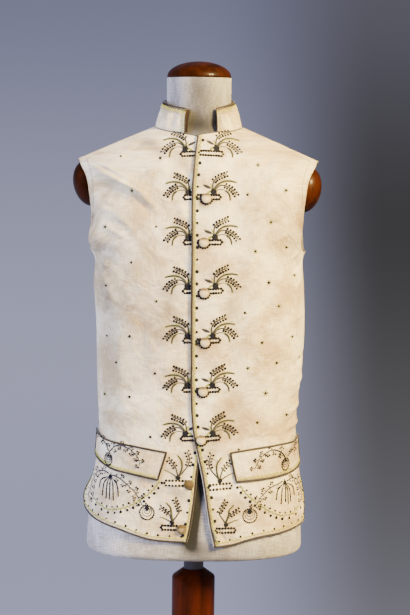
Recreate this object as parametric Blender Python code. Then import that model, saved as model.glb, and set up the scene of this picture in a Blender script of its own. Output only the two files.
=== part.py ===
"""An embroidered silk waistcoat of about 1790 on its limbless dress form and stand.

The waistcoat is made as a tailor makes it: two fronts, the wearer's left one lying over
the right one, two backs with a seam between them, a stand collar, two pocket flaps and
eight covered buttons. Each is a wall of cloth of its own. The form is a linen-covered torso
with turned wooden caps at the neck and arms, on a steel tube, a wooden post and a foot.

X runs to the wearer's left, the front looks along -Y, and Z is up from the floor. Heights in
the tables are measured from the form's lower edge. An angle goes round the body: 0 is the
side seam, 90 the centre front and -90 the centre back. Panels are worked out for one side,
with x growing towards that side, and the other side is mirrored.
"""

import math
from bisect import bisect_right
from collections import namedtuple

import bmesh
import bpy
from mathutils import Matrix, Vector

# --- driving sizes, in metres ---------------------------------------------------------
FORM_BASE = 0.260
WALL = 0.002
SEAM_GAP = 0.0003

# The body under the cloth: half widths of the coat at the wearer's right and left and of the
# form, and how far the coat reaches forward and back of the side seams.
Level = namedtuple("Level", "height right_width left_width form_width front back")
LEVELS = (
    Level(-0.010, 0.1864, 0.1868, 0.1824, 0.1215, 0.1165),
    Level(0.045, 0.1845, 0.1858, 0.1805, 0.1205, 0.1160),
    Level(0.080, 0.1800, 0.1838, 0.1760, 0.1182, 0.1136),
    Level(0.120, 0.1722, 0.1788, 0.1682, 0.1147, 0.1096),
    Level(0.160, 0.1652, 0.1730, 0.1612, 0.1117, 0.1042),
    Level(0.200, 0.1625, 0.1700, 0.1580, 0.1088, 0.0985),
    Level(0.240, 0.1638, 0.1708, 0.1590, 0.1070, 0.0950),
    Level(0.300, 0.1660, 0.1774, 0.1612, 0.1072, 0.0972),
    Level(0.345, 0.1668, 0.1804, 0.1622, 0.1084, 0.1020),
    Level(0.390, 0.1682, 0.1812, 0.1636, 0.1098, 0.1078),
    Level(0.450, 0.1724, 0.1788, 0.1660, 0.1108, 0.1140),
    Level(0.495, 0.1706, 0.1765, 0.1645, 0.1108, 0.1162),
    Level(0.530, 0.1860, 0.1860, 0.1650, 0.1098, 0.1162),
    Level(0.560, 0.1922, 0.1922, 0.1680, 0.1082, 0.1152),
    Level(0.600, 0.1967, 0.1967, 0.1780, 0.1060, 0.1132),
    Level(0.656, 0.2000, 0.2000, 0.1900, 0.1040, 0.1105),
    Level(0.760, 0.2030, 0.2030, 0.1950, 0.1010, 0.1070),
)
SECTION_ROUND = 2.35
SHOULDER_START = 0.570
SHOULDER_ROUND = 2.3
SHOULDER_SLOPE = 0.43
RIDGE_TOP = 0.7416

# The surfaces that share the table: each takes its width column, lies in from the coat by an
# ease front and back, and has its shoulder ridge dropped.
Body = namedtuple("Body", "width ease drop")
RIGHT_COAT = Body("right_width", 0.0, 0.0)
LEFT_COAT = Body("left_width", 0.0, 0.0)
FORM = Body("form_width", 0.0045, 0.0072)

# The front edges, by height: x of the upper (wearer's left) and the lower (right) front.
Edge = namedtuple("Edge", "height left right")
FRONT_EDGES = (
    Edge(0.0280, 0.0330, -0.0123),
    Edge(0.0560, 0.0262, -0.0056),
    Edge(0.0880, 0.0208, -0.0009),
    Edge(0.1210, 0.0157, 0.0030),
    Edge(0.1460, 0.0112, 0.0048),
    Edge(0.1740, 0.0050, 0.0090),
    Edge(0.2190, -0.0037, 0.0159),
    Edge(0.2680, -0.0067, 0.0182),
    Edge(0.4000, -0.0082, 0.0186),
    Edge(0.5130, -0.0086, 0.0184),
    Edge(0.6090, -0.0090, 0.0186),
    Edge(0.6550, -0.0058, 0.0188),
    Edge(0.6955, -0.0013, 0.0190),
)

# The hem, from a front's edge to the side seam, and at the centre of the back.
Hem = namedtuple("Hem", "share right left")
HEM = (
    Hem(0.000, 0.0341, 0.0268),
    Hem(0.125, 0.0347, 0.0296),
    Hem(0.250, 0.0370, 0.0365),
    Hem(0.375, 0.0437, 0.0412),
    Hem(0.500, 0.0503, 0.0432),
    Hem(0.750, 0.0594, 0.0482),
    Hem(1.000, 0.0690, 0.0520),
)
HEM_BACK = 0.0470

# The side vents: where they end, how they open in degrees for each metre below that, and
# where their edge curls outward.
VENT_TOP = 0.120
VENT_SPREAD = 60.0
VENT_CURL = 0.090
VENT_CURL_SPAN = 0.022

# The armhole, by angle on the front and on the back, up to the shoulder seam.
Armhole = namedtuple("Armhole", "height front back")
ARMHOLE = (
    Armhole(0.5050, 0.0, 0.0),
    Armhole(0.5065, 8.0, -7.0),
    Armhole(0.5110, 15.0, -13.0),
    Armhole(0.5220, 21.0, -18.5),
    Armhole(0.5400, 24.0, -21.5),
    Armhole(0.5600, 25.5, -22.5),
    Armhole(0.5770, 26.0, -22.5),
    Armhole(0.6000, 25.3, -22.5),
    Armhole(0.6180, 24.0, -23.5),
    Armhole(0.6330, 20.5, -21.0),
    Armhole(0.6450, 14.0, -15.5),
    Armhole(0.6555, 8.0, 8.0),
)
ARMHOLE_FOOT = ARMHOLE[0].height
SHOULDER_SEAM = ARMHOLE[-1].front

# The neckline, from the centre to the shoulder seam.
Neck = namedtuple("Neck", "height x")
FRONT_NECK = (
    Neck(0.6990, 0.0240),
    Neck(0.7018, 0.0470),
    Neck(0.7052, 0.0620),
)
BACK_NECK = (
    Neck(0.7200, 0.0000),
    Neck(0.7178, 0.0290),
    Neck(0.7146, 0.0530),
)
NECK_SIDE = 0.7106

# The upper front's rise over the lower one, full up to one x and gone by another.
OVERLAP_LIFT = 0.0034
OVERLAP_FULL = 0.026
OVERLAP_END = 0.060

# The largest folds: ridges and troughs from one point of the fronts to another.
Fold = namedtuple("Fold", "start_x start_height end_x end_height width depth")
FRONT_FOLDS = (
    Fold(-0.165, 0.641, -0.088, 0.606, 0.012, 0.0026),
    Fold(-0.150, 0.615, -0.095, 0.578, 0.014, -0.0014),
    Fold(-0.160, 0.500, -0.140, 0.430, 0.014, 0.0022),
    Fold(0.098, 0.686, 0.060, 0.655, 0.013, 0.0022),
    Fold(0.125, 0.655, 0.105, 0.600, 0.014, 0.0018),
    Fold(0.160, 0.195, 0.130, 0.175, 0.014, 0.0020),
)

# The two sides: where the front's neckline starts, how far the cloth stands off at the
# armholes' lower edges and at the vents, and x of the pocket flap's inner end at its top and
# bottom.
Side = namedtuple(
    "Side", "word sign coat neck_point armhole_front armhole_back vent_front vent_back flap_top flap_bottom"
)
SIDES = (
    Side("right", -1, RIGHT_COAT, 0.6925, 0.0090, 0.0030, 0.0080, 0.0030, 0.0456, 0.0590),
    Side("left", 1, LEFT_COAT, 0.6955, 0.0000, 0.0060, 0.0020, 0.0030, 0.0579, 0.0683),
)
ARMHOLE_FLARE = 0.524
ARMHOLE_FLARE_SPAN = 0.022
ARMHOLE_SHARE = 0.72
VENT_SHARE = 0.86

BODY_ROWS = 10
CHEST_ROWS = 8
SHOULDER_ROWS = 6
PANEL_COLUMNS = 12

# Collar: how high its upper edge stands, and how far from the neck's axis.
COLLAR_CENTRE = -0.006
COLLAR_SIDE = 0.0580
COLLAR_DEPTH = 0.0640
COLLAR_FRONT_TOP = 0.7380
COLLAR_SIDE_TOP = 0.7520
COLLAR_BACK_TOP = 0.7600
COLLAR_TOP_TURN = 1.6
COLLAR_ENDS = {"right": 0.0225, "left": 0.0310}
COLLAR_BULGE = 0.0016
COLLAR_LIFT = 0.0009
COLLAR_INSET = 0.0004
COLLAR_ROWS = 4

# Pocket flaps: heights of the top and bottom edges, from the inner end to the outer.
Flap = namedtuple("Flap", "share right_top right_bottom left_top left_bottom")
FLAP = (
    Flap(0.00, 0.1810, 0.1360, 0.1815, 0.1342),
    Flap(0.25, 0.1872, 0.1425, 0.1870, 0.1365),
    Flap(0.50, 0.1908, 0.1472, 0.1896, 0.1395),
    Flap(0.75, 0.1945, 0.1560, 0.1920, 0.1442),
    Flap(1.00, 0.2030, 0.1650, 0.1965, 0.1510),
)
FLAP_OUTER_ANGLE = 3.0
FLAP_LIFT = 0.0015
FLAP_COLUMNS = 14
FLAP_ROWS = 3

Button = namedtuple("Button", "height x")
BUTTONS = (
    Button(0.5954, 0.0143),
    Button(0.5251, 0.0112),
    Button(0.4437, 0.0128),
    Button(0.3633, 0.0149),
    Button(0.2827, 0.0125),
    Button(0.2027, 0.0105),
    Button(0.1291, -0.0085),
    Button(0.0564, -0.0199),
)
CLOSED_BUTTONS = 6
BUTTON_RADIUS = 0.0083
BUTTON_HEIGHT = 0.0062
BUTTON_EDGE = 0.0012
BUTTON_LIFT = 0.0008
BUTTON_SIDES = 12

# Dress form: its neck, its lower edge and its arm ends, which lean in towards their feet.
NECK_RADIUS = 0.0535
NECK_DEPTH = 0.0550
NECK_CENTRE = -0.008
NECK_HEIGHT = 0.7905
NECK_BLEND = 12.0
NECK_CAP_INSET = 0.0005
NECK_CAP_EDGE = 0.0015
NECK_CAP_RISE = 0.0270
FORM_EDGE = 0.010
FORM_SIDES = 40
FORM_CHEST_STEPS = 11
FORM_EDGE_STEPS = 4
FORM_SHOULDER_LEVELS = (0.600, 0.630, 0.655, 0.672, 0.688, 0.700, 0.709, 0.716, 0.724, 0.734)
ArmEnd = namedtuple("ArmEnd", "word sign x height")
ARM_ENDS = (
    ArmEnd("right", -1, 0.1795, 0.6155),
    ArmEnd("left", 1, 0.1772, 0.6085),
)
ARM_LEAN = 12.8
ARM_CAP_TALL = 0.0387
ARM_CAP_DEEP = 0.0335
ARM_CAP_RISE = 0.0281
ARM_CAP_EDGE = 0.0020
ARM_CUT_BELOW = 0.0440
ARM_CUT_SIZE = 0.2
CAP_SIDES = 24
DOME_END = 86.0

# Stand.
TUBE_RADIUS = 0.0169
POST_RADIUS = 0.0365
POST_TOP = 0.2220
POST_CONE = 0.0130
POST_EDGE = 0.0015
FOOT_RADIUS = 0.1600
FOOT_EDGE = 0.003
FOOT_SIDE = 0.012
FOOT_RIM = 0.019
FOOT_RIM_WIDTH = 0.014
FOOT_RIM_EDGE = 0.0045
FOOT_HEIGHT = 0.0300
FOOT_BOSS = 0.0465
FOOT_BOSS_START = 0.0650
STAND_SIDES = 24
FOOT_SIDES = 36


# --- reading the tables ---------------------------------------------------------------
def column_at(rows, column, place):
    """A table's column at a place in its first column, on a smooth curve through its rows."""
    places = [row[0] for row in rows]
    values = [getattr(row, column) for row in rows]
    if place <= places[0]:
        return values[0]
    if place >= places[-1]:
        return values[-1]
    k = bisect_right(places, place) - 1

    def slope(i):
        low = max(i - 1, 0)
        high = min(i + 1, len(rows) - 1)
        return (values[high] - values[low]) / (places[high] - places[low])

    span = places[k + 1] - places[k]
    t = (place - places[k]) / span
    rise = values[k + 1] - values[k]
    start = slope(k) * span
    end = slope(k + 1) * span
    return values[k] + t * (start + t * (3 * rise - 2 * start - end + t * (start + end - 2 * rise)))


def smooth_step(low, high, value):
    """0 below low, 1 above high and a soft rise between."""
    t = min(max((value - low) / (high - low), 0.0), 1.0)
    return t * t * (3 - 2 * t)


def bump(value, centre, span):
    """A soft bump, 1 at its centre."""
    return math.exp(-(((value - centre) / span) ** 2))


# --- the body's surface ---------------------------------------------------------------
def half_width(body, height):
    """The body's half width: its side below the shoulder, the sloping ridge above it."""
    side = column_at(LEVELS, body.width, height)
    ridge = (RIDGE_TOP - body.drop - height) / SHOULDER_SLOPE
    return max(min(side, ridge), 0.0)


def reach(body, x, height, facing):
    """How far the surface lies from the side-to-side plane; facing is front or back."""
    side = column_at(LEVELS, body.width, height)
    depth = column_at(LEVELS, facing, height) - body.ease
    across = max(1 - (abs(x) / side) ** SECTION_ROUND, 0.0)
    out = depth * across ** (1 / SECTION_ROUND)
    if height > SHOULDER_START:
        ridge = RIDGE_TOP - body.drop - SHOULDER_SLOPE * abs(x)
        climb = min((height - SHOULDER_START) / max(ridge - SHOULDER_START, 1e-6), 1.0)
        out *= (1 - climb**SHOULDER_ROUND) ** (1 / SHOULDER_ROUND)
    return out


def body_point(body, angle, height):
    """A point of the surface at an angle in degrees round the body."""
    turn = math.radians(angle)
    x = half_width(body, height) * math.cos(turn)
    if math.sin(turn) >= 0:
        return Vector((x, -reach(body, x, height, "front"), height))
    return Vector((x, reach(body, x, height, "back"), height))


def body_normal(body, angle, height):
    """The outward direction there."""
    round_it = body_point(body, angle + 1.0, height) - body_point(body, angle - 1.0, height)
    up = body_point(body, angle, height + 0.002) - body_point(body, angle, height - 0.002)
    return up.cross(round_it).normalized()


def angle_at(side, x, height):
    """The angle at which the coat's front has this x."""
    share = x / half_width(side.coat, height)
    return math.degrees(math.acos(min(max(share, -1.0), 1.0)))


def evenly(body, knots, count):
    """Walks a smooth line through (angle, height) knots in count even steps on a body."""
    fine = []
    last = len(knots) - 1
    for k in range(last):
        p0, p1 = knots[max(k - 1, 0)], knots[k]
        p2, p3 = knots[k + 1], knots[min(k + 2, last)]
        for step in range(8):
            t = step / 8
            fine.append(
                tuple(
                    b + 0.5 * t * (c - a + t * (2 * a - 5 * b + 4 * c - d + t * (3 * (b - c) + d - a)))
                    for a, b, c, d in zip(p0, p1, p2, p3)
                )
            )
    fine.append(knots[-1])
    places = [body_point(body, *pair) for pair in fine]
    along = [0.0]
    for a, b in zip(places, places[1:]):
        along.append(along[-1] + (b - a).length)
    steps = []
    for i in range(count + 1):
        want = along[-1] * i / count
        k = min(max(bisect_right(along, want) - 1, 0), len(fine) - 2)
        t = (want - along[k]) / max(along[k + 1] - along[k], 1e-9)
        steps.append(tuple(a + (b - a) * t for a, b in zip(fine[k], fine[k + 1])))
    return steps


# --- meshes ---------------------------------------------------------------------------
def finish(name, colour, roughness, metallic=0.0):
    """A plain Principled material."""
    material = bpy.data.materials.new(name)
    material.use_nodes = True
    shader = material.node_tree.nodes["Principled BSDF"]
    shader.inputs["Base Color"].default_value = (*colour, 1.0)
    shader.inputs["Roughness"].default_value = roughness
    shader.inputs["Metallic"].default_value = metallic
    return material


def solid(name, points, faces, material):
    """One named closed object, its faces turned outward."""
    mesh = bpy.data.meshes.new(name)
    mesh.from_pydata(points, [], faces)
    work = bmesh.new()
    work.from_mesh(mesh)
    bmesh.ops.recalc_face_normals(work, faces=work.faces)
    work.to_mesh(mesh)
    work.free()
    mesh.shade_smooth()
    mesh.set_sharp_from_angle(angle=math.radians(40))
    mesh.materials.append(material)
    thing = bpy.data.objects.new(name, mesh)
    bpy.context.scene.collection.objects.link(thing)
    return thing


def wall(name, outer, inner, material):
    """A wall of cloth between two grids of points, closed round its rim."""
    rows, columns = len(outer), len(outer[0])
    points = [p for row in outer for p in row] + [p for row in inner for p in row]
    back = rows * columns

    def at(r, c):
        return r * columns + c

    faces = []
    for r in range(rows - 1):
        for c in range(columns - 1):
            quad = (at(r, c), at(r, c + 1), at(r + 1, c + 1), at(r + 1, c))
            faces.append(quad)
            faces.append(tuple(back + i for i in reversed(quad)))
    rim = [at(0, c) for c in range(columns)]
    rim += [at(r, columns - 1) for r in range(1, rows)]
    rim += [at(rows - 1, c) for c in range(columns - 2, -1, -1)]
    rim += [at(r, 0) for r in range(rows - 2, 0, -1)]
    for a, b in zip(rim, rim[1:] + rim[:1]):
        faces.append((a, b, back + b, back + a))
    return solid(name, points, faces, material)


def rings(name, loops, material):
    """A solid through closed loops of points, capped at both ends."""
    sides = len(loops[0])
    points = [p for loop in loops for p in loop]
    faces = [tuple(range(sides)), tuple((len(loops) - 1) * sides + i for i in range(sides))]
    for r in range(len(loops) - 1):
        for i in range(sides):
            j = (i + 1) % sides
            faces.append((r * sides + i, r * sides + j, (r + 1) * sides + j, (r + 1) * sides + i))
    return solid(name, points, faces, material)


def turned(name, profile, sides, material, deep=1.0):
    """A turned solid on the Z axis from (radius, height) pairs; deep squashes it in Y."""
    loops = []
    for radius, height in profile:
        loop = []
        for i in range(sides):
            turn = math.tau * i / sides
            loop.append(Vector((radius * math.cos(turn), radius * deep * math.sin(turn), height)))
        loops.append(loop)
    return rings(name, loops, material)


def dome(radius, rise, steps, edge):
    """The profile of a dome: a bevelled edge, then an elliptical arc that stops short of the axis."""
    profile = [(radius - edge, 0.0), (radius, edge)]
    for k in range(1, steps + 1):
        turn = math.radians(DOME_END) * k / steps
        profile.append((radius * math.cos(turn), edge + (rise - edge) * math.sin(turn)))
    return profile


# --- the cloth ------------------------------------------------------------------------
def fold_height(side, point):
    """How far the front's folds push the cloth out at a point of its surface."""
    total = 0.0
    for fold in FRONT_FOLDS:
        ends = []
        for x, height in ((fold.start_x, fold.start_height), (fold.end_x, fold.end_height)):
            ends.append(Vector((x, -reach(side.coat, x, height, "front"), height)))
        run = ends[1] - ends[0]
        share = min(max((point - ends[0]).dot(run) / run.length_squared, 0.0), 1.0)
        far = (point - ends[0] - run * share).length
        total += fold.depth * bump(far, 0.0, fold.width) * (1 - abs(share - 0.5))
    return total


def coat_place(side, angle, height, out):
    """A point of the cloth on one side of the body, moved out by its folds and by out."""
    point = body_point(side.coat, angle, height)
    normal = body_normal(side.coat, angle, height)
    mirror = Vector((side.sign, 1, 1))
    if point.y < 0:
        out += fold_height(side, point * mirror)
    moved = (point + normal * out) * mirror
    return moved + Vector((0, 0, FORM_BASE))


def overlap_lift(side, angle, height):
    """The upper front's rise over the lower one, fading away from the centre."""
    if side.sign < 0 or angle < 0:
        return 0.0
    x = half_width(side.coat, height) * math.cos(math.radians(angle))
    return OVERLAP_LIFT * (1 - smooth_step(OVERLAP_FULL, OVERLAP_END, x))


def front_edge(side, height):
    """The angle of a front's edge at a height."""
    return angle_at(side, side.sign * column_at(FRONT_EDGES, side.word, height), height)


def skirt_rows(side, facing):
    """Rows of (angle, height, share) from the hem to the armhole's foot; facing is 1 or -1."""
    rows = []
    for k in range(BODY_ROWS + 1):
        row = []
        for c in range(PANEL_COLUMNS + 1):
            share = c / PANEL_COLUMNS
            if facing > 0:
                hem = column_at(HEM, side.word, share)
            else:
                hem = HEM_BACK + (column_at(HEM, side.word, 1.0) - HEM_BACK) * share
            height = hem + (ARMHOLE_FOOT - hem) * k / BODY_ROWS
            centre = front_edge(side, height) if facing > 0 else 90.0
            opening = VENT_SPREAD * max(VENT_TOP - height, 0.0)
            row.append((facing * (centre + (opening - centre) * share), height, share))
        rows.append(row)
    return rows


def between(inner, outer):
    """Rows of (angle, height, share) between a panel's inner and outer edges."""
    rows = []
    for near, far in zip(inner, outer):
        row = []
        for c in range(PANEL_COLUMNS + 1):
            share = c / PANEL_COLUMNS
            row.append((near[0] + (far[0] - near[0]) * share, near[1] + (far[1] - near[1]) * share, share))
        rows.append(row)
    return rows


def panel_rows(side, facing):
    """A front's or a back's rows: the skirt and waist, then the chest, then the shoulder."""
    if facing > 0:
        armhole = [(row.front, row.height) for row in ARMHOLE]
        neckline = [(angle_at(side, row.x, row.height), row.height) for row in FRONT_NECK]
        top = side.neck_point
    else:
        armhole = [(row.back, row.height) for row in ARMHOLE]
        neckline = [(-angle_at(side, row.x, row.height), row.height) for row in BACK_NECK]
        top = BACK_NECK[0].height
    centre = []
    for k in range(CHEST_ROWS + 1):
        height = ARMHOLE_FOOT + (top - ARMHOLE_FOOT) * k / CHEST_ROWS
        centre.append((front_edge(side, height) if facing > 0 else -90.0, height))
    if facing > 0:
        neckline.insert(0, centre[-1])
    outer = evenly(side.coat, armhole, CHEST_ROWS + SHOULDER_ROWS)
    neck = evenly(side.coat, neckline + [(SHOULDER_SEAM, NECK_SIDE)], SHOULDER_ROWS)
    return skirt_rows(side, facing) + between(centre + neck[1:], outer)[1:]


def stand_off(side, facing, height, share):
    """How far a panel stands off by its armhole's lower edge and by its vent."""
    armhole, vent = side.armhole_front, side.vent_front
    if facing < 0:
        armhole, vent = side.armhole_back, side.vent_back
    out = armhole * smooth_step(ARMHOLE_SHARE, 1.0, share) * bump(height, ARMHOLE_FLARE, ARMHOLE_FLARE_SPAN)
    return out + vent * smooth_step(VENT_SHARE, 1.0, share) * bump(height, VENT_CURL, VENT_CURL_SPAN)


def pull_in(grid, gap):
    """Draws a grid's seam edges inward by half a seam's gap."""
    last_row, last = len(grid) - 1, len(grid[0]) - 1
    for row in grid:
        row[0] += (row[1] - row[0]).normalized() * gap
        row[last] += (row[last - 1] - row[last]).normalized() * gap
    for c in range(last + 1):
        grid[last_row][c] += (grid[last_row - 1][c] - grid[last_row][c]).normalized() * gap


def panel(name, side, facing, material):
    """A front or a back: a wall on the coat's surface."""
    outer = []
    inner = []
    for row in panel_rows(side, facing):
        faces = ([], [])
        for angle, height, share in row:
            out = stand_off(side, facing, height, share) + overlap_lift(side, angle, height)
            faces[0].append(coat_place(side, angle, height, out))
            faces[1].append(coat_place(side, angle, height, out - WALL))
        outer.append(faces[0])
        inner.append(faces[1])
    pull_in(outer, SEAM_GAP / 2)
    pull_in(inner, SEAM_GAP / 2)
    return wall(name, outer, inner, material)


def neckline_points(side):
    """The collar's foot on one side: the panels' own neck edges, from its end to the back."""
    end = COLLAR_ENDS[side.word]
    shoulder = BODY_ROWS + CHEST_ROWS
    front = [row[0] for row in panel_rows(side, 1)[shoulder:]]
    back = [row[0] for row in reversed(panel_rows(side, -1)[shoulder:])]
    edge = [coat_place(side, step[0], step[1], 0.0) for step in front + back[1:]]
    points = []
    for a, b in zip(edge, edge[1:]):
        if abs(b.x) < end and not points:
            continue
        if not points:
            a = a.lerp(b, (end - abs(a.x)) / (abs(b.x) - abs(a.x)))
        points += [a, a.lerp(b, 0.5)]
    return points + [edge[-1]]


def collar(material):
    """A stand collar from one front end round the back to the other."""
    right, left = (neckline_points(side) for side in SIDES)
    outer = [[] for _ in range(COLLAR_ROWS + 1)]
    inner = [[] for _ in range(COLLAR_ROWS + 1)]
    for foot in right + list(reversed(left))[1:]:
        toward = Vector((foot.x, foot.y - COLLAR_CENTRE, 0.0)).normalized()
        radius = 1 / math.hypot(toward.x / COLLAR_SIDE, toward.y / COLLAR_DEPTH)
        end_top = COLLAR_FRONT_TOP if toward.y < 0 else COLLAR_BACK_TOP
        height = COLLAR_SIDE_TOP + (end_top - COLLAR_SIDE_TOP) * abs(toward.y) ** COLLAR_TOP_TURN
        top = toward * radius + Vector((0, COLLAR_CENTRE, height + FORM_BASE))
        start = foot - toward * COLLAR_INSET + Vector((0, 0, COLLAR_LIFT))
        for r in range(COLLAR_ROWS + 1):
            share = r / COLLAR_ROWS
            place = start.lerp(top, share) + toward * COLLAR_BULGE * math.sin(math.pi * share)
            outer[r].append(place)
            inner[r].append(place - toward * WALL)
    return wall("collar", outer, inner, material)


def pocket_flap(side, material):
    """A flap lying on a front, made from the front's surface moved out."""
    outer = []
    inner = []
    for r in range(FLAP_ROWS + 1):
        down = r / FLAP_ROWS
        inner_x = side.flap_top + (side.flap_bottom - side.flap_top) * down
        faces = ([], [])
        for c in range(FLAP_COLUMNS + 1):
            share = c / FLAP_COLUMNS
            top = column_at(FLAP, f"{side.word}_top", share)
            bottom = column_at(FLAP, f"{side.word}_bottom", share)
            height = top + (bottom - top) * down
            first = angle_at(side, inner_x, height)
            angle = first + (FLAP_OUTER_ANGLE - first) * share
            out = overlap_lift(side, angle, height) + FLAP_LIFT + WALL
            faces[0].append(coat_place(side, angle, height, out))
            faces[1].append(coat_place(side, angle, height, out - WALL))
        outer.append(faces[0])
        inner.append(faces[1])
    return wall(f"pocket_flap_{side.word}", outer, inner, material)


def button(number, place, side, material):
    """A covered button: a domed disc standing on its front."""
    angle = angle_at(side, place.x * side.sign, place.height)
    lift = overlap_lift(side, angle, place.height)
    seat = coat_place(side, angle, place.height, lift + BUTTON_LIFT)
    away = body_normal(side.coat, angle, place.height) * Vector((side.sign, 1, 1))
    profile = dome(BUTTON_RADIUS, BUTTON_HEIGHT, 4, BUTTON_EDGE)
    thing = turned(f"button_{number}", profile, BUTTON_SIDES, material)
    thing.matrix_world = Matrix.Translation(seat) @ away.to_track_quat("Z", "Y").to_matrix().to_4x4()
    return thing


# --- the form and its stand -----------------------------------------------------------
def form_loop(height, shrink=0.0):
    """The form's outline at a height, the neck rising out of the shoulders."""
    torso = half_width(FORM, height) if height < RIDGE_TOP - FORM.drop else 0.0
    neck = NECK_RADIUS if height > SHOULDER_START else 0.0
    width = (torso**NECK_BLEND + neck**NECK_BLEND) ** (1 / NECK_BLEND) - shrink
    loop = []
    for i in range(FORM_SIDES):
        turn = math.tau * i / FORM_SIDES
        across = math.cos(turn)
        facing = "front" if math.sin(turn) >= 0 else "back"
        body = reach(FORM, torso * across, height, facing) if torso else 0.0
        column = 0.0
        if neck:
            lean = -NECK_CENTRE if facing == "front" else NECK_CENTRE
            column = (NECK_DEPTH + lean) * abs(math.sin(turn))
        out = (body**NECK_BLEND + column**NECK_BLEND) ** (1 / NECK_BLEND)
        out = max(out - shrink * abs(math.sin(turn)), 0.0)
        loop.append(Vector((width * across, -out if facing == "front" else out, height + FORM_BASE)))
    return loop


def arm_frame(end):
    """Stands a piece on an arm end: its own Z points out of the arm end, leaning down."""
    place = Matrix.Translation((end.sign * end.x, 0.0, FORM_BASE + end.height))
    return place @ Matrix.Rotation(end.sign * math.radians(90.0 + ARM_LEAN), 4, "Y")


def form_torso(material):
    """The linen torso: sections from its rounded lower edge to the top of the neck."""
    loops = []
    for k in range(FORM_EDGE_STEPS):
        turn = math.pi / 2 * k / FORM_EDGE_STEPS
        loops.append(form_loop(FORM_EDGE * (1 - math.cos(turn)), FORM_EDGE * (1 - math.sin(turn))))
    for k in range(FORM_CHEST_STEPS + 1):
        loops.append(form_loop(FORM_EDGE + (SHOULDER_START - FORM_EDGE) * k / FORM_CHEST_STEPS))
    loops += [form_loop(height) for height in (*FORM_SHOULDER_LEVELS, NECK_HEIGHT)]
    torso = rings("form_torso", loops, material)
    for end in ARM_ENDS:
        cutter = bpy.data.objects.new(f"arm_cut_{end.word}", bpy.data.meshes.new("arm_cut"))
        work = bmesh.new()
        bmesh.ops.create_cube(work, size=ARM_CUT_SIZE)
        work.to_mesh(cutter.data)
        work.free()
        up = end.sign * (ARM_CUT_BELOW - ARM_CUT_SIZE / 2)
        cutter.matrix_world = arm_frame(end) @ Matrix.Translation((up, 0.0, ARM_CUT_SIZE / 2))
        cutter.hide_render = True
        cutter.display_type = "WIRE"
        bpy.context.scene.collection.objects.link(cutter)
        cut = torso.modifiers.new(f"arm_cut_{end.word}", "BOOLEAN")
        cut.operation = "DIFFERENCE"
        cut.object = cutter
    return torso


def arm_cap(end, material):
    """A domed wooden cap over one of the form's arm ends."""
    profile = dome(ARM_CAP_TALL, ARM_CAP_RISE, 7, ARM_CAP_EDGE)
    cap = turned(f"arm_cap_{end.word}", profile, CAP_SIDES, material, deep=ARM_CAP_DEEP / ARM_CAP_TALL)
    cap.matrix_world = arm_frame(end) @ Matrix.Translation((0.0, 0.0, SEAM_GAP))
    return cap


def neck_cap(material):
    """The wooden cap on the neck."""
    profile = dome(NECK_RADIUS - NECK_CAP_INSET, NECK_CAP_RISE, 7, NECK_CAP_EDGE)
    cap = turned("neck_cap", profile, CAP_SIDES, material, deep=NECK_DEPTH / NECK_RADIUS)
    cap.location = (0.0, NECK_CENTRE, FORM_BASE + NECK_HEIGHT + SEAM_GAP)
    return cap


def stand(steel, wood):
    """The tube under the form, the wooden post it stands in, and the foot."""
    tube = [(TUBE_RADIUS, POST_TOP + SEAM_GAP), (TUBE_RADIUS, FORM_BASE - SEAM_GAP)]
    turned("stand_tube", tube, STAND_SIDES, steel)
    post = [
        (POST_RADIUS, FOOT_HEIGHT + SEAM_GAP),
        (POST_RADIUS, POST_TOP - POST_CONE - POST_EDGE),
        (POST_RADIUS - POST_EDGE, POST_TOP - POST_CONE + POST_EDGE / 2),
        (TUBE_RADIUS + POST_EDGE, POST_TOP),
    ]
    turned("stand_post", post, STAND_SIDES, wood)
    foot = [
        (FOOT_RADIUS - FOOT_EDGE, 0.0),
        (FOOT_RADIUS, FOOT_EDGE),
        (FOOT_RADIUS, FOOT_SIDE),
        (FOOT_RADIUS - FOOT_RIM_EDGE, (FOOT_SIDE + FOOT_RIM) / 2),
        (FOOT_RADIUS - FOOT_RIM_WIDTH, FOOT_RIM),
        (FOOT_BOSS_START, FOOT_HEIGHT - FOOT_EDGE),
        (FOOT_BOSS, FOOT_HEIGHT),
    ]
    turned("stand_foot", foot, FOOT_SIDES, wood)


def main():
    """Builds every piece."""
    for thing in list(bpy.data.objects):
        bpy.data.objects.remove(thing, do_unlink=True)
    silk = finish("ivory_silk", (0.80, 0.72, 0.62), 0.55)
    backing = finish("grey_linen_lining", (0.52, 0.49, 0.44), 0.8)
    covered = finish("silk_covered_button", (0.66, 0.50, 0.33), 0.5)
    linen = finish("form_linen", (0.50, 0.48, 0.46), 0.85)
    wood = finish("polished_mahogany", (0.12, 0.03, 0.012), 0.25)
    steel = finish("polished_steel", (0.60, 0.60, 0.62), 0.2, 1.0)
    for side in SIDES:
        panel(f"front_{side.word}", side, 1, silk)
        panel(f"back_{side.word}", side, -1, backing)
        pocket_flap(side, silk)
    collar(silk)
    for number, place in enumerate(BUTTONS, 1):
        button(number, place, SIDES[number <= CLOSED_BUTTONS], covered)
    form_torso(linen)
    for end in ARM_ENDS:
        arm_cap(end, wood)
    neck_cap(wood)
    stand(steel, wood)


main()
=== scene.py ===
# %% [markdown]
# # An embroidered silk waistcoat of about 1790, on its dress form
# A tailor of that time cut a waistcoat as two silk fronts and two plain backs, because only the
# fronts were seen. The fronts were embroidered flat, before they were cut out. This lesson dresses
# the solids of the part: each piece of cloth becomes a thin shell on the same surface, the
# embroidery becomes real threads and spangles on that shell, and the form gets its linen and wood.
# The solids are loaded first and are never moved.

import math
import random
from collections import namedtuple

import bmesh
import bpy
import numpy as np
from mathutils import Euler, Matrix, Vector


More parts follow.
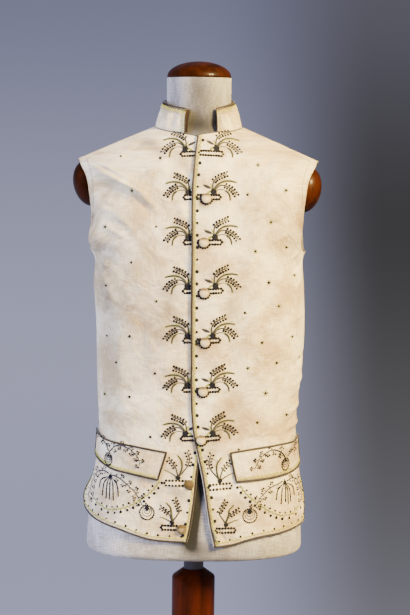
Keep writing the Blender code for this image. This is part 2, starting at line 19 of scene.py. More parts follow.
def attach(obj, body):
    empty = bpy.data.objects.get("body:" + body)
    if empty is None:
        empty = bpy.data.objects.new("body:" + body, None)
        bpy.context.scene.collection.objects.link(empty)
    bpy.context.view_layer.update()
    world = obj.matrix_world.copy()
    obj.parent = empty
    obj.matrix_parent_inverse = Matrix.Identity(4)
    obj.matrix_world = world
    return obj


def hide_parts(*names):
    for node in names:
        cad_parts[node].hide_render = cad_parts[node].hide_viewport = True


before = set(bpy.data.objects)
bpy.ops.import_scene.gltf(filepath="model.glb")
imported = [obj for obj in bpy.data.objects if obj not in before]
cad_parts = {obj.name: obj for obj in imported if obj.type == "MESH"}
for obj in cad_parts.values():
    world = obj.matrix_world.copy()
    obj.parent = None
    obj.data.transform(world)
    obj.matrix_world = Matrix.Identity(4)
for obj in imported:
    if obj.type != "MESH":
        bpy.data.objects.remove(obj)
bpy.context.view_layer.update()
random.seed(1790)
MM = 0.001

# %% [markdown]
# ## The body under the cloth
# All cloth lies on one surface: the body. A tailor would take measures at several levels; the table
# below holds them, in metres, with heights from the form's lower edge. Between the rows a smooth
# curve runs. The widths are half widths at the wearer's right and left and of the bare form, and
# front and back say how far the coat reaches from the side seams. They are the sizes that the
# solids were made from, so the shells meet the solids.

# %% Measures of the body
def table(name, columns, *rows):
    """A table as a list of named rows."""
    made = namedtuple(name, columns)
    return [made(*row) for row in rows]


FORM_BASE = 0.260
LEVELS = table(
    "Level", "height right_width left_width form_width front back",
    (-0.010, 0.1864, 0.1868, 0.1824, 0.1215, 0.1165), (0.045, 0.1845, 0.1858, 0.1805, 0.1205, 0.1160),
    (0.080, 0.1800, 0.1838, 0.1760, 0.1182, 0.1136), (0.120, 0.1722, 0.1788, 0.1682, 0.1147, 0.1096),
    (0.160, 0.1652, 0.1730, 0.1612, 0.1117, 0.1042), (0.200, 0.1625, 0.1700, 0.1580, 0.1088, 0.0985),
    (0.240, 0.1638, 0.1708, 0.1590, 0.1070, 0.0950), (0.300, 0.1660, 0.1774, 0.1612, 0.1072, 0.0972),
    (0.345, 0.1668, 0.1804, 0.1622, 0.1084, 0.1020), (0.390, 0.1682, 0.1812, 0.1636, 0.1098, 0.1078),
    (0.450, 0.1724, 0.1788, 0.1660, 0.1108, 0.1140), (0.495, 0.1706, 0.1765, 0.1645, 0.1108, 0.1162),
    (0.530, 0.1860, 0.1860, 0.1650, 0.1098, 0.1162), (0.560, 0.1922, 0.1922, 0.1680, 0.1082, 0.1152),
    (0.600, 0.1967, 0.1967, 0.1780, 0.1060, 0.1132), (0.656, 0.2000, 0.2000, 0.1900, 0.1040, 0.1105),
    (0.760, 0.2030, 0.2030, 0.1950, 0.1010, 0.1070),
)
SECTION_ROUND = 2.35
SHOULDER_START = 0.570
SHOULDER_ROUND = 2.3
SHOULDER_SLOPE = 0.43
RIDGE_TOP = 0.7416
Body = namedtuple("Body", "width ease drop")
RIGHT_COAT = Body("right_width", 0.0, 0.0)
LEFT_COAT = Body("left_width", 0.0, 0.0)
FORM = Body("form_width", 0.0045, 0.0072)


def column(rows, name, place):
    """A column of a table at places in its first column, on a smooth curve through its rows."""
    places = np.array([row[0] for row in rows])
    values = np.array([getattr(row, name) for row in rows])
    high = np.minimum(np.arange(len(rows)) + 1, len(rows) - 1)
    low = np.maximum(np.arange(len(rows)) - 1, 0)
    slopes = (values[high] - values[low]) / (places[high] - places[low])
    place = np.clip(place, places[0], places[-1])
    k = np.clip(np.searchsorted(places, place, side="right") - 1, 0, len(places) - 2)
    span = places[k + 1] - places[k]
    t = (place - places[k]) / span
    rise = values[k + 1] - values[k]
    start, end = slopes[k] * span, slopes[k + 1] * span
    return values[k] + t * (start + t * (3 * rise - 2 * start - end + t * (start + end - 2 * rise)))


def half_width(body, height):
    """The body's half width: its side below the shoulder, the sloping ridge above it."""
    ridge = (RIDGE_TOP - body.drop - height) / SHOULDER_SLOPE
    return np.maximum(np.minimum(column(LEVELS, body.width, height), ridge), 1e-5)


def reach(body, x, height, front):
    """How far the surface lies from the side-to-side plane, where front is true or false."""
    side = column(LEVELS, body.width, height)
    depth = np.where(front, column(LEVELS, "front", height), column(LEVELS, "back", height)) - body.ease
    across = np.maximum(1 - (np.abs(x) / side) ** SECTION_ROUND, 0.0)
    ridge = RIDGE_TOP - body.drop - SHOULDER_SLOPE * np.abs(x)
    climb = np.clip((height - SHOULDER_START) / np.maximum(ridge - SHOULDER_START, 1e-6), 0.0, 1.0)
    return depth * across ** (1 / SECTION_ROUND) * (1 - climb**SHOULDER_ROUND) ** (1 / SHOULDER_ROUND)


def body_point(body, angle, height):
    """Points of the surface: angle 0 is the side seam, 90 the centre front, -90 the centre back."""
    turn = np.radians(angle)
    x = half_width(body, height) * np.cos(turn)
    front = np.sin(turn) >= 0
    y = np.where(front, -1, 1) * reach(body, x, height, front)
    return np.stack(np.broadcast_arrays(x, y, height), axis=-1)


def unit(vectors):
    """Vectors brought to length one."""
    return vectors / np.maximum(np.linalg.norm(vectors, axis=-1, keepdims=True), 1e-12)


def run_length(points):
    """How far each point of a line lies from the line's start."""
    return np.concatenate([[0], np.cumsum(np.linalg.norm(np.diff(points, axis=0), axis=1))])


def at_lengths(line, lengths, wanted):
    """The points of a line at wanted lengths, where lengths has the length at each of its points."""
    return np.stack([np.interp(wanted, lengths, line[:, i]) for i in range(line.shape[1])], axis=-1)


def smooth_line(knots, before, after, steps):
    """A smooth line through knots, steps from each to the next; before and after steer its ends."""
    padded = np.vstack([before, knots, after])
    t = np.linspace(0, 1, steps, endpoint=False)[:, None]
    fine = []
    for a, b, c, d in zip(padded, padded[1:], padded[2:], padded[3:]):
        fine.append(b + 0.5 * t * (c - a + t * (2 * a - 5 * b + 4 * c - d + t * (3 * (b - c) + d - a))))
    return np.vstack(fine + [knots[-1:]])


CHEST = 0.450
turns = np.linspace(-90, 90, 181)
girth = sum(run_length(body_point(body, turns, CHEST))[-1] for body in (RIGHT_COAT, LEFT_COAT))
print("girth at the chest in mm:", round(girth / MM))

# %% [markdown]
# ## How the pieces were cut
# The fronts' edges, the hem, the armhole and the neckline are lines on that surface. Each table
# gives one of them. The wearer's left front laps over the right one, so it is lifted a little near
# the centre.

# %% Lines of the cut
FRONT_EDGES = table(
    "Edge", "height left right",
    (0.0280, 0.0330, -0.0123), (0.0560, 0.0262, -0.0056), (0.0880, 0.0208, -0.0009),
    (0.1210, 0.0157, 0.0030), (0.1460, 0.0112, 0.0048), (0.1740, 0.0050, 0.0090), (0.2190, -0.0037, 0.0159),
    (0.2680, -0.0067, 0.0182), (0.4000, -0.0082, 0.0186), (0.5130, -0.0086, 0.0184),
    (0.6090, -0.0090, 0.0186), (0.6550, -0.0058, 0.0188), (0.6955, -0.0013, 0.0190),
)
HEM = table(
    "Hem", "share right left",
    (0.000, 0.0341, 0.0268), (0.125, 0.0347, 0.0296), (0.250, 0.0370, 0.0365), (0.375, 0.0437, 0.0412),
    (0.500, 0.0503, 0.0432), (0.750, 0.0594, 0.0482), (1.000, 0.0690, 0.0520),
)
HEM_BACK = 0.0470
VENT_TOP = 0.120
VENT_SPREAD = 60.0
ARMHOLE = table(
    "Armhole", "height front back",
    (0.5050, 0.0, 0.0), (0.5065, 8.0, -7.0), (0.5110, 15.0, -13.0), (0.5220, 21.0, -18.5),
    (0.5400, 24.0, -21.5), (0.5600, 25.5, -22.5), (0.5770, 26.0, -22.5), (0.6000, 25.3, -22.5),
    (0.6180, 24.0, -23.5), (0.6330, 20.5, -21.0), (0.6450, 14.0, -15.5), (0.6555, 8.0, 8.0),
)
SHOULDER_SEAM = 8.0
Neck = namedtuple("Neck", "height x")
FRONT_NECK = (Neck(0.6990, 0.0240), Neck(0.7018, 0.0470), Neck(0.7052, 0.0620))
BACK_NECK = (Neck(0.7200, 0.0000), Neck(0.7178, 0.0290), Neck(0.7146, 0.0530))
NECK_SIDE = 0.7106

Side = namedtuple(
    "Side", "word sign coat neck_point arm_front arm_back vent_front vent_back flap_top flap_bottom"
)
RIGHT = Side("right", -1, RIGHT_COAT, 0.6925, 0.0090, 0.0030, 0.0080, 0.0030, 0.0456, 0.0590)
LEFT = Side("left", 1, LEFT_COAT, 0.6955, 0.0000, 0.0060, 0.0020, 0.0030, 0.0579, 0.0683)
SIDES = (RIGHT, LEFT)

# %% [markdown]
# ## Creases
# Worn silk never lies quite flat. Soft ridges and troughs run from the armholes and the shoulders
# towards the chest, and short ones gather at the side seams. A simulation could make them, but a
# costume's creases are old and set, so each is listed one by one: a line from one point to another,
# how wide it is and how far it stands out, all in millimetres. x is across the body, positive at the
# wearer's left. A trough has a negative depth. A crease dies away towards both of its ends.

# %% The creases, in millimetres
Crease = namedtuple("Crease", "start_x start_height end_x end_height width depth")
MAIN_FOLDS = (
    (-165, 641, -88, 606, 12, 2.6), (-150, 615, -95, 578, 14, -1.4), (-160, 500, -140, 430, 14, 2.2),
    (98, 686, 60, 655, 13, 2.2), (125, 655, 105, 600, 14, 1.8), (160, 195, 130, 175, 14, 2.0),
)
CREASES = {
    "front_right": (
        (-170, 648, -98, 612, 2.6, -1.3), (-160, 634, -76, 598, 3.2, 1.5), (-150, 618, -98, 594, 3, -0.7),
        (-108, 604, -72, 566, 7, -1.3), (-98, 606, -66, 580, 5, 0.9), (-160, 596, -110, 592, 5, -0.6),
        (-158, 576, -128, 572, 4, 0.6), (-156, 560, -110, 548, 5, -0.7), (-150, 548, -112, 528, 5, 0.7),
        (-130, 566, -96, 536, 6, 0.8), (-172, 520, -152, 470, 6, -1.2), (-160, 498, -128, 470, 7, 0.9),
        (-168, 472, -150, 440, 5, 1.0), (-166, 440, -138, 452, 6, -0.7), (-24, 650, -8, 596, 6, -1.1),
        (-32, 596, -18, 556, 7, 1.0), (-22, 570, -8, 530, 6, -0.9), (-30, 510, -14, 470, 7, -0.7),
        (-150, 640, -118, 668, 9, 0.9), (-110, 668, -86, 690, 8, -0.9), (-76, 690, -50, 664, 8, 0.8),
        (-52, 396, -44, 280, 14, 0.8), (-92, 410, -84, 260, 12, -0.7), (-126, 400, -120, 250, 13, 0.7),
        (-150, 380, -142, 300, 9, -0.7), (-162, 250, -138, 238, 4, 0.9), (-164, 232, -142, 228, 3.5, -0.8),
        (-8, 118, -48, 134, 7, 1.3), (-14, 104, -52, 116, 6, -0.8), (-26, 88, -38, 60, 7, 0.7),
        (-60, 122, -68, 58, 9, -0.6), (-118, 100, -126, 62, 8, 0.7),
    ),
    "front_left": (
        (96, 688, 62, 660, 4, -1.5), (82, 676, 52, 646, 6, 0.8), (124, 664, 106, 644, 5, -1.3),
        (142, 652, 120, 628, 7, 1.0), (138, 640, 112, 614, 5, -0.9), (152, 628, 128, 596, 8, 0.8),
        (118, 628, 100, 584, 9, -0.9), (140, 590, 104, 566, 7, 0.8), (148, 566, 110, 548, 6, -0.8),
        (156, 540, 126, 528, 5, 0.7), (168, 508, 150, 494, 4, 1.2), (172, 490, 152, 470, 5, -1.0),
        (174, 468, 158, 440, 5, 0.9), (66, 640, 60, 560, 12, -0.7), (90, 560, 84, 430, 14, 0.8),
        (120, 470, 114, 330, 13, -0.8), (146, 430, 142, 310, 10, 0.8), (60, 420, 58, 300, 12, -0.5),
        (178, 404, 160, 396, 5, 0.9), (182, 336, 162, 322, 6, -1.1), (178, 300, 158, 284, 5, 1.0),
        (174, 270, 156, 262, 4.5, -1.2), (172, 256, 154, 240, 4.5, 1.6), (171, 240, 150, 222, 4, -1.4),
        (171, 224, 152, 214, 4, 1.6), (171, 208, 148, 206, 4, -1.2), (60, 196, 108, 206, 7, -0.7),
        (40, 168, 64, 198, 7, 0.8), (26, 126, 58, 104, 8, 0.8), (30, 62, 44, 30, 3, 1.5),
        (38, 60, 54, 34, 3, -1.2), (76, 112, 92, 56, 9, -0.6), (126, 104, 130, 60, 9, 0.7),
    ),
    "back_right": (
        (-186, 560, -110, 600, 8, 1.3), (-176, 540, -120, 560, 7, -1.0), (-150, 690, -70, 640, 9, -0.9),
        (-162, 240, -96, 262, 8, 1.2), (-160, 218, -70, 230, 7, -1.1), (-150, 196, -84, 204, 7, 0.9),
        (-20, 300, -28, 160, 12, 0.8), (-90, 170, -112, 70, 12, 1.0), (-60, 470, -52, 330, 13, -0.7),
    ),
    "back_left": (
        (186, 556, 118, 588, 7, 1.2), (174, 532, 112, 548, 8, -1.0), (140, 688, 60, 652, 9, 0.9),
        (166, 252, 88, 270, 8, 1.2), (164, 226, 76, 240, 7, -1.2), (152, 204, 60, 214, 8, 0.8),
        (30, 330, 24, 190, 12, -0.8), (96, 160, 108, 66, 12, 1.0), (70, 480, 84, 360, 13, 0.7),
    ),
}


def bump(value, centre, span):
    """A soft bump, 1 at its centre."""
    return np.exp(-(((value - centre) / span) ** 2))


WIDER, DEEPER = 0.9, 2.6
CREASE_SLACK = 0.012


def creased(side, facing, rows):
    """Creases as they lie on a front or a back: where each starts, its run, width and depth."""
    rows = [Crease(*row) for row in rows]
    heights = np.array([(row.start_height, row.end_height) for row in rows]) * MM
    xs = np.array([(row.start_x, row.end_x) for row in rows]) * MM
    ys = reach(side.coat, xs, heights, facing > 0) * -facing
    ends = np.stack([xs, ys, heights], axis=-1)
    sizes = np.array([(row.width * WIDER, row.depth * DEEPER) for row in rows]) * MM
    return ends[:, 0], ends[:, 1] - ends[:, 0], sizes[:, 0], sizes[:, 1]


def crease_height(point, normal, creases, taper):
    """How far creases push the cloth out at points of its surface.

    A crease runs round the body and its line is straight, so up to CREASE_SLACK of the gap between
    them that lies along the point's normal isn't counted.
    """
    start, run, width, depth = creases
    gap = point[..., None, :] - start
    share = np.clip((gap * run).sum(axis=-1) / (run * run).sum(axis=-1), 0.0, 1.0)
    off = gap - share[..., None] * run
    along = np.abs((off * normal[..., None, :]).sum(axis=-1))
    level = np.maximum((off * off).sum(axis=-1) - along**2, 0.0)
    far = np.sqrt(level + np.maximum(along - CREASE_SLACK, 0.0) ** 2)
    return (depth * bump(far, 0.0, width) * taper(share)).sum(axis=-1)


FOLDS = {
    (side.word, facing): (
        creased(side, facing, MAIN_FOLDS),
        creased(side, facing, CREASES[f"{word}_{side.word}"]),
    )
    for side in SIDES
    for facing, word in ((1, "front"), (-1, "back"))
}
print("creases:", sum(len(rows) for rows in CREASES.values()), "and", len(MAIN_FOLDS), "main folds")

# %% [markdown]
# ## Points of the cloth
# Everything that is sewn on needs to know where the cloth is and which way it faces. One function
# gives points of any panel, with its creases, the lift where it laps and the stand-off at the vents
# and armholes. A second one also gives the outward directions, from the points close by.

# %% Where the cloth is
OVERLAP_LIFT = 0.0034
OVERLAP_FULL = 0.026
OVERLAP_END = 0.060


def smooth_step(low, high, value):
    """0 below low, 1 above high and a soft rise between."""
    t = np.clip((value - low) / (high - low), 0.0, 1.0)
    return t * t * (3 - 2 * t)


def angle_at(side, x, height):
    """The angle at which a front has this x, counted towards its own side."""
    return np.degrees(np.arccos(np.clip(x / half_width(side.coat, height), -1.0, 1.0)))


def front_edge(side, height):
    """The angle of a front's edge."""
    return angle_at(side, side.sign * column(FRONT_EDGES, side.word, height), height)


def outer_edge(facing, height):
    """The angle of a panel's outer edge: the vent, the side seam, then the armhole."""
    opening = facing * VENT_SPREAD * np.maximum(VENT_TOP - height, 0.0)
    hole = column(ARMHOLE, "front" if facing > 0 else "back", height)
    return np.where(height > ARMHOLE[0].height, hole, opening)


def stand_off(side, facing, angle, height):
    """How far a panel stands off by its armhole's lower edge and by its vent."""
    arm, vent = (side.arm_front, side.vent_front) if facing > 0 else (side.arm_back, side.vent_back)
    centre = front_edge(side, height) if facing > 0 else -90.0
    outer = outer_edge(facing, height)
    share = np.clip((angle - centre) / (outer - centre), 0.0, 1.0)
    out = arm * smooth_step(0.72, 1.0, share) * bump(height, 0.524, 0.022)
    return out + vent * smooth_step(0.86, 1.0, share) * bump(height, 0.090, 0.022)


def cloth(side, facing, angle, height):
    """Points of a panel; facing is 1 for a front and -1 for a back."""
    angle, height = np.broadcast_arrays(np.asarray(angle, float), np.asarray(height, float))
    point = body_point(side.coat, angle, height)
    up = body_point(side.coat, angle, height + 0.002) - body_point(side.coat, angle, height - 0.002)
    round_it = body_point(side.coat, angle + 1.0, height) - body_point(side.coat, angle - 1.0, height)
    normal = unit(np.cross(up, round_it))
    mirror = np.array([side.sign, 1, 1])
    place = point * mirror
    rise = stand_off(side, facing, angle, height)
    if facing > 0 and side is LEFT:
        rise = rise + OVERLAP_LIFT * (1 - smooth_step(OVERLAP_FULL, OVERLAP_END, place[..., 0]))
    main, fine = FOLDS[side.word, facing]
    facing_out = normal * mirror
    if facing > 0:
        rise = rise + crease_height(place, facing_out, main, lambda share: 1 - np.abs(share - 0.5))
    rise = rise + crease_height(place, facing_out, fine, lambda share: np.sin(np.pi * (0.08 + 0.84 * share)))
    return (point + normal * rise[..., None]) * mirror + np.array([0, 0, FORM_BASE])


TURN_BY, RISE_BY = 0.25, 0.0008


def seat(side, facing, angle, height, out=0.0):
    """Points on the creased cloth, and the directions straight out of it there."""
    across = cloth(side, facing, angle + TURN_BY, height) - cloth(side, facing, angle - TURN_BY, height)
    up = cloth(side, facing, angle, height + RISE_BY) - cloth(side, facing, angle, height - RISE_BY)
    normal = unit(np.cross(up, across)) * side.sign
    return cloth(side, facing, angle, height) + normal * np.asarray(out)[..., None], normal


def seat_front(side, x, height, out=0.0):
    """The same for x and height in the world's own sense, on a front."""
    return seat(side, 1, angle_at(side, np.asarray(x) * side.sign, height), np.asarray(height, float), out)


# %% [markdown]
# ## A panel's threads
# A woven panel has a warp and a weft. The grid below runs the same way: rows from the hem to the
# shoulder seam, columns from the centre to the side. Below the armhole the rows are level but for
# the hem. Above it they turn, until the last one lies along the shoulder seam.

# %% Panel grids
BODY_ROWS = 160
CHEST_ROWS = 62
SHOULDER_ROWS = 48
COLUMNS = 120


def evenly(body, knots, count):
    """Walks a smooth line through (angle, height) knots in count even steps on a body."""
    knots = np.array(knots, float)
    line = smooth_line(knots, knots[:1], knots[-1:], 24)
    lengths = run_length(body_point(body, *line.T))
    return at_lengths(line, lengths, np.linspace(0, lengths[-1], count + 1))


def panel_grid(side, facing):
    """The angles and heights of a panel's grid."""
    share = np.linspace(0, 1, COLUMNS + 1)
    hem = column(HEM, side.word, share)
    if facing < 0:
        hem = HEM_BACK + (column(HEM, side.word, 1.0) - HEM_BACK) * share
    foot = ARMHOLE[0].height
    height = hem + (foot - hem) * np.linspace(0, 1, BODY_ROWS + 1)[:, None]
    centre = front_edge(side, height) if facing > 0 else np.full_like(height, 90.0)
    opening = VENT_SPREAD * np.maximum(VENT_TOP - height, 0.0)
    angle = facing * (centre + (opening - centre) * share)
    if facing > 0:
        top, armhole = side.neck_point, [(row.front, row.height) for row in ARMHOLE]
        neck = [(angle_at(side, row.x, row.height), row.height) for row in FRONT_NECK]
    else:
        top, armhole = BACK_NECK[0].height, [(row.back, row.height) for row in ARMHOLE]
        neck = [(-angle_at(side, row.x, row.height), row.height) for row in BACK_NECK]
    rise = np.linspace(foot, top, CHEST_ROWS + 1)
    inner = np.stack([front_edge(side, rise) if facing > 0 else np.full_like(rise, -90.0), rise], axis=-1)
    if facing > 0:
        neck.insert(0, tuple(inner[-1]))
    neck = evenly(side.coat, neck + [(SHOULDER_SEAM, NECK_SIDE)], SHOULDER_ROWS)
    inner = np.vstack([inner, neck[1:]])
    outer = evenly(side.coat, armhole, CHEST_ROWS + SHOULDER_ROWS)
    upper = inner[1:, None] + (outer - inner)[1:, None] * share[None, :, None]
    return np.vstack([angle, upper[..., 0]]), np.vstack([height, upper[..., 1]])


GRIDS = {(side.word, facing): panel_grid(side, facing) for side in SIDES for facing in (1, -1)}
print("points in each panel's grid:", GRIDS["left", 1][0].shape)

# %% [markdown]
# ## Helpers for finishes
# A colour is given as an sRGB hex value, and a shader works in linear light, so one function turns
# the first into the second. Another adds a node with its settings and its links. Every finish below
# is built with these two.

# %% Colour and nodes
def linear(code):
    """An sRGB hex colour as linear red, green, blue and alpha."""
    shares = [int(code[i : i + 2], 16) / 255 for i in (0, 2, 4)]
    return (*(c / 12.92 if c <= 0.04045 else ((c + 0.055) / 1.055) ** 2.4 for c in shares), 1.0)


def join(tree, node, links):
    """Feeds a node's inputs, each from an output or from another node's first output."""
    for name, source in links.items():
        tree.links.new(getattr(source, "outputs", [source])[0], node.inputs[name])


def add(tree, kind, settings=None, links=None):
    """Adds a node: settings are its properties or its inputs' values, links its inputs' sources."""
    made = tree.nodes.new("ShaderNode" + kind)
    for name, value in (settings or {}).items():
        if isinstance(name, str) and hasattr(made, name):
            setattr(made, name, value)
        else:
            made.inputs[name].default_value = value
    join(tree, made, links or {})
    return made


def new_finish(name, values):
    """A material with values on its shader's sockets; gives the material, its tree and its shader."""
    made = bpy.data.materials.new(name)
    made.use_nodes = True
    shader = made.node_tree.nodes["Principled BSDF"]
    for socket, value in values.items():
        shader.inputs[socket].default_value = value
    return made, made.node_tree, shader


# %% [markdown]
# ## Woven cloth
# Silk, lining and linen differ in thread, sheen and wear, and share a build: warp and weft threads,
# thick places in the thread that show as streaks, a slow unevenness of colour, and a darker tone
# mixed in for soil and for painted shade. The threads lie in the piece's own UV map, which is in
# metres, so a thread is as wide everywhere. Real silk threads are about 0.15 mm apart, too fine to
# show, so they are drawn 0.7 mm apart. Linen is drawn at 1.1 mm. Soil and painted shade are set on
# the points of each piece, as one attribute that the finish reads.

# %% Silk, lining and linen
WAVE_LENGTH = 0.314


def woven(name, light, dark, soil_and_shade_tone, thread, streak, relief, limp, blotch, values):
    """A woven cloth: thread, relief and limp in metres; streak and blotch are slubs and spots.

    A wave texture of scale 1 repeats after WAVE_LENGTH metres, so its scale follows from the thread.
    """
    made, tree, shader = new_finish(name, values)
    uv = add(tree, "UVMap", {"uv_map": "cut"})
    bands = {"Scale": WAVE_LENGTH / thread, "Distortion": 0.6, "Detail Scale": 2.0}
    warp, weft = (add(tree, "TexWave", {**bands, "bands_direction": way}, {"Vector": uv}) for way in "XY")
    long = add(tree, "Mapping", {"Scale": (1.0, 0.09, 1.0)}, {"Vector": uv})
    slub = add(tree, "TexNoise", {"Scale": 620.0, "Detail": 3.0}, {"Vector": long})
    wide = add(tree, "Mapping", {"Scale": (0.12, 1.0, 1.0)}, {"Vector": uv})
    pick = add(tree, "TexNoise", {"Scale": 520.0, "Detail": 2.0}, {"Vector": wide})
    streaks = add(tree, "Math", {"operation": "ADD"}, {0: slub, 1: pick})
    patchy = add(tree, "TexNoise", {"Scale": 14.0, "Detail": 5.0, "Roughness": 0.6}, {"Vector": uv})
    sum_of = add(tree, "Math", {"operation": "MULTIPLY_ADD", 1: streak}, {0: streaks, 2: patchy})
    share = add(tree, "MapRange", {"From Min": 0.38 + streak, "From Max": 0.62 + streak}, {"Value": sum_of})
    ground = add(tree, "Mix", {"data_type": "RGBA", 6: linear(dark), 7: linear(light)}, {0: share})
    # The attribute holds soil and painted shade; it mixes the cloth towards its darker tone.
    soil = add(tree, "Attribute", {"attribute_name": "soil"})
    spots = add(tree, "TexNoise", {"Scale": 55.0, "Detail": 4.0}, {"Vector": uv})
    uneven = add(tree, "Math", {"operation": "MULTIPLY_ADD", 1: blotch, 2: 0.9 - 0.5 * blotch}, {0: spots})
    product = {"operation": "MULTIPLY", "use_clamp": True}
    amount = add(tree, "Math", product, {0: soil.outputs["Fac"], 1: uneven})
    darkened = add(tree, "Mix", {"data_type": "RGBA", 7: linear(soil_and_shade_tone)}, {0: amount, 6: ground.outputs[2]})
    crossing = add(tree, "Math", {"operation": "ADD"}, {0: warp.outputs["Fac"], 1: weft.outputs["Fac"]})
    pucker = add(tree, "TexNoise", {"Scale": 90.0, "Detail": 3.0}, {"Vector": uv})
    crumple = add(tree, "TexNoise", {"Scale": 24.0, "Detail": 4.0, "Distortion": 0.9}, {"Vector": uv})
    softly = add(tree, "Bump", {"Distance": limp, "Strength": 1.0}, {"Height": crumple})
    height = add(tree, "Math", {"operation": "MULTIPLY_ADD", 1: 4.0}, {0: pucker, 2: crossing})
    raised = add(tree, "Bump", {"Distance": relief, "Strength": 0.8}, {"Height": height, "Normal": softly})
    join(tree, shader, {"Base Color": darkened.outputs[2], "Normal": raised})
    return made


# The third colour of each cloth is its darker tone for soil and painted shade: on the silk for stains, for
# the painted shadows of the buttons and for painted shade at the left front's lower edge and in the collar's
# crease troughs; on the lining for the painted shade of the collar's facing; on the form's linen, bluish like
# shade under the cool lamp, for its painted shade; on the buttons for their darker parts and their painted
# shade.
IVORY_SILK = woven(
    "aged_ivory_silk", "fdf4d8", "c6b08a", "6b5031", 0.0007, 0.25, 0.00012, 0.007, 1.6,
    {"Roughness": 0.52, "Sheen Weight": 0.25, "Sheen Roughness": 0.4, "Specular IOR Level": 0.42},
)
TAN_LINING = woven(
    "tan_silk_lining", "6a4b2e", "452d19", "1c0f07", 0.0008, 0.3, 0.00012, 0.001, 1.3,
    {"Roughness": 0.6, "Sheen Weight": 0.15},
)
BACK_LINEN = woven(
    "grey_back_linen", "b4aea3", "938b7e", "6d6252", 0.0009, 0.6, 0.00018, 0.001, 1.3,
    {"Roughness": 0.85, "Sheen Weight": 0.2},
)
FORM_LINEN = woven(
    "stretched_form_linen", "c8c6c8", "98938f", "12151d", 0.0011, 0.6, 0.00022, 0.0002, 0.1,
    {"Roughness": 0.9, "Sheen Weight": 0.25},
)
BUTTON_SILK = woven(
    "tan_button_silk", "f2deae", "d2b880", "46340e", 0.0006, 0.3, 0.0001, 0.0002, 0.3,
    {"Roughness": 0.45, "Sheen Weight": 0.3},
)

# %% [markdown]
# ## Threads, cord and spangles
# The embroidery is floss silk in yellow greens, olive and a faded mauve. The edges carry a narrow
# cord of brown silk. The dark dots are spangles: small discs punched from foil, once silver and now
# tarnished blue-black, so they are a rough metal.

# %% Embroidery finishes
def floss(name, light, dark):
    """Silk thread: two tones mixed every few millimetres, and a soft sheen."""
    made, tree, shader = new_finish(name, {"Roughness": 0.6, "Sheen Weight": 0.3})
    where = add(tree, "TexCoord")
    tone = add(tree, "TexNoise", {"Scale": 260.0, "Detail": 2.0}, {"Vector": where.outputs["Object"]})
    share = add(tree, "MapRange", {"From Min": 0.35, "From Max": 0.65}, {"Value": tone})
    colour = add(tree, "Mix", {"data_type": "RGBA", 6: linear(dark), 7: linear(light)}, {0: share})
    twist = add(tree, "TexNoise", {"Scale": 1500.0}, {"Vector": where.outputs["Object"]})
    raised = add(tree, "Bump", {"Distance": 0.0003, "Strength": 0.6}, {"Height": twist})
    join(tree, shader, {"Base Color": colour.outputs[2], "Normal": raised})
    return made


TARNISHED_SILVER, tree, shader = new_finish(
    "tarnished_silver", {"Metallic": 0.0, "Roughness": 0.6, "Specular IOR Level": 0.2}
)
where = add(tree, "TexCoord")
patina = add(tree, "TexNoise", {"Scale": 320.0}, {"Vector": where.outputs["Object"]})
tones = {"data_type": "RGBA", 6: linear("070912"), 7: linear("1a1d2a")}
join(tree, shader, {"Base Color": add(tree, "Mix", tones, {0: patina}).outputs[2]})
THREADS = {
    "green": floss("yellow_green_floss", "9aa038", "666e20"),
    "lime": floss("faded_lime_floss", "c6c040", "94922a"),
    "olive": floss("olive_floss", "36361a", "1e1e0e"),
    "mauve": floss("faded_mauve_floss", "282833", "13131a"),
    "cord": floss("brown_silk_cord", "2a1f17", "120c08"),
    "stitch": floss("ivory_sewing_silk", "c9bba3", "a8977c"),
    "spangle": TARNISHED_SILVER,
}

# %% [markdown]
# ## Wood and steel
# The caps and the post are turned from a red-brown hardwood such as mahogany, stained and French
# polished: long pores along the axis, darker late wood, and a clear coat over it. Darker copies of it
# are painted shade: one for the neck cap and the arm cap at the wearer's right, one for the post. The
# tube is chromed steel, almost smooth; its colour is darkened as a painted reflection of a dark room.

# %% Mahogany and chrome
def polished_wood(name, along, dark_tone, light_tone):
    """Turned and polished mahogany, its grain running the way that along stretches it."""
    polish = {"Coat Weight": 0.14, "Coat Roughness": 0.08, "Coat IOR": 1.45}
    made, tree, shader = new_finish(name, {"Roughness": 0.45, "Specular IOR Level": 0.1, **polish})
    where = add(tree, "TexCoord")
    grain = add(tree, "Mapping", {"Scale": along}, {"Vector": where.outputs["Object"]})
    figure = add(tree, "TexNoise", {"Scale": 60.0, "Detail": 6.0, "Distortion": 0.5}, {"Vector": grain})
    pores = add(tree, "TexNoise", {"Scale": 420.0, "Detail": 2.0}, {"Vector": grain})
    share = add(tree, "MapRange", {"From Min": 0.3, "From Max": 0.7}, {"Value": figure})
    colour = add(tree, "Mix", {"data_type": "RGBA", 6: linear(dark_tone), 7: linear(light_tone)}, {0: share})
    pored = {"From Min": 0.3, "From Max": 0.45, "To Min": 0.5, "To Max": 0.0}
    dark = add(tree, "MapRange", pored, {"Value": pores})
    final = add(tree, "Mix", {"data_type": "RGBA", 7: linear("0c0200")}, {0: dark, 6: colour.outputs[2]})
    raised = add(tree, "Bump", {"Distance": 0.00012, "Strength": 0.4}, {"Height": pores})
    join(tree, shader, {"Base Color": final.outputs[2], "Normal": raised})
    return made


UPRIGHT, LEVEL = (1.0, 1.0, 0.12), (0.12, 1.0, 1.0)
MAHOGANY = polished_wood("polished_mahogany", UPRIGHT, "1a0800", "451d04")
# Darker copies of the mahogany, as painted shade: one for the neck cap and the arm cap at the wearer's right,
# one for the post.
SHADED_MAHOGANY = polished_wood("polished_mahogany_painted_shade", UPRIGHT, "140700", "361403")
POST_MAHOGANY_SHADED = polished_wood("post_mahogany_painted_shade", UPRIGHT, "1a0600", "451703")
FOOT_MAHOGANY = polished_wood("foot_mahogany", LEVEL, "1a0700", "451a04")
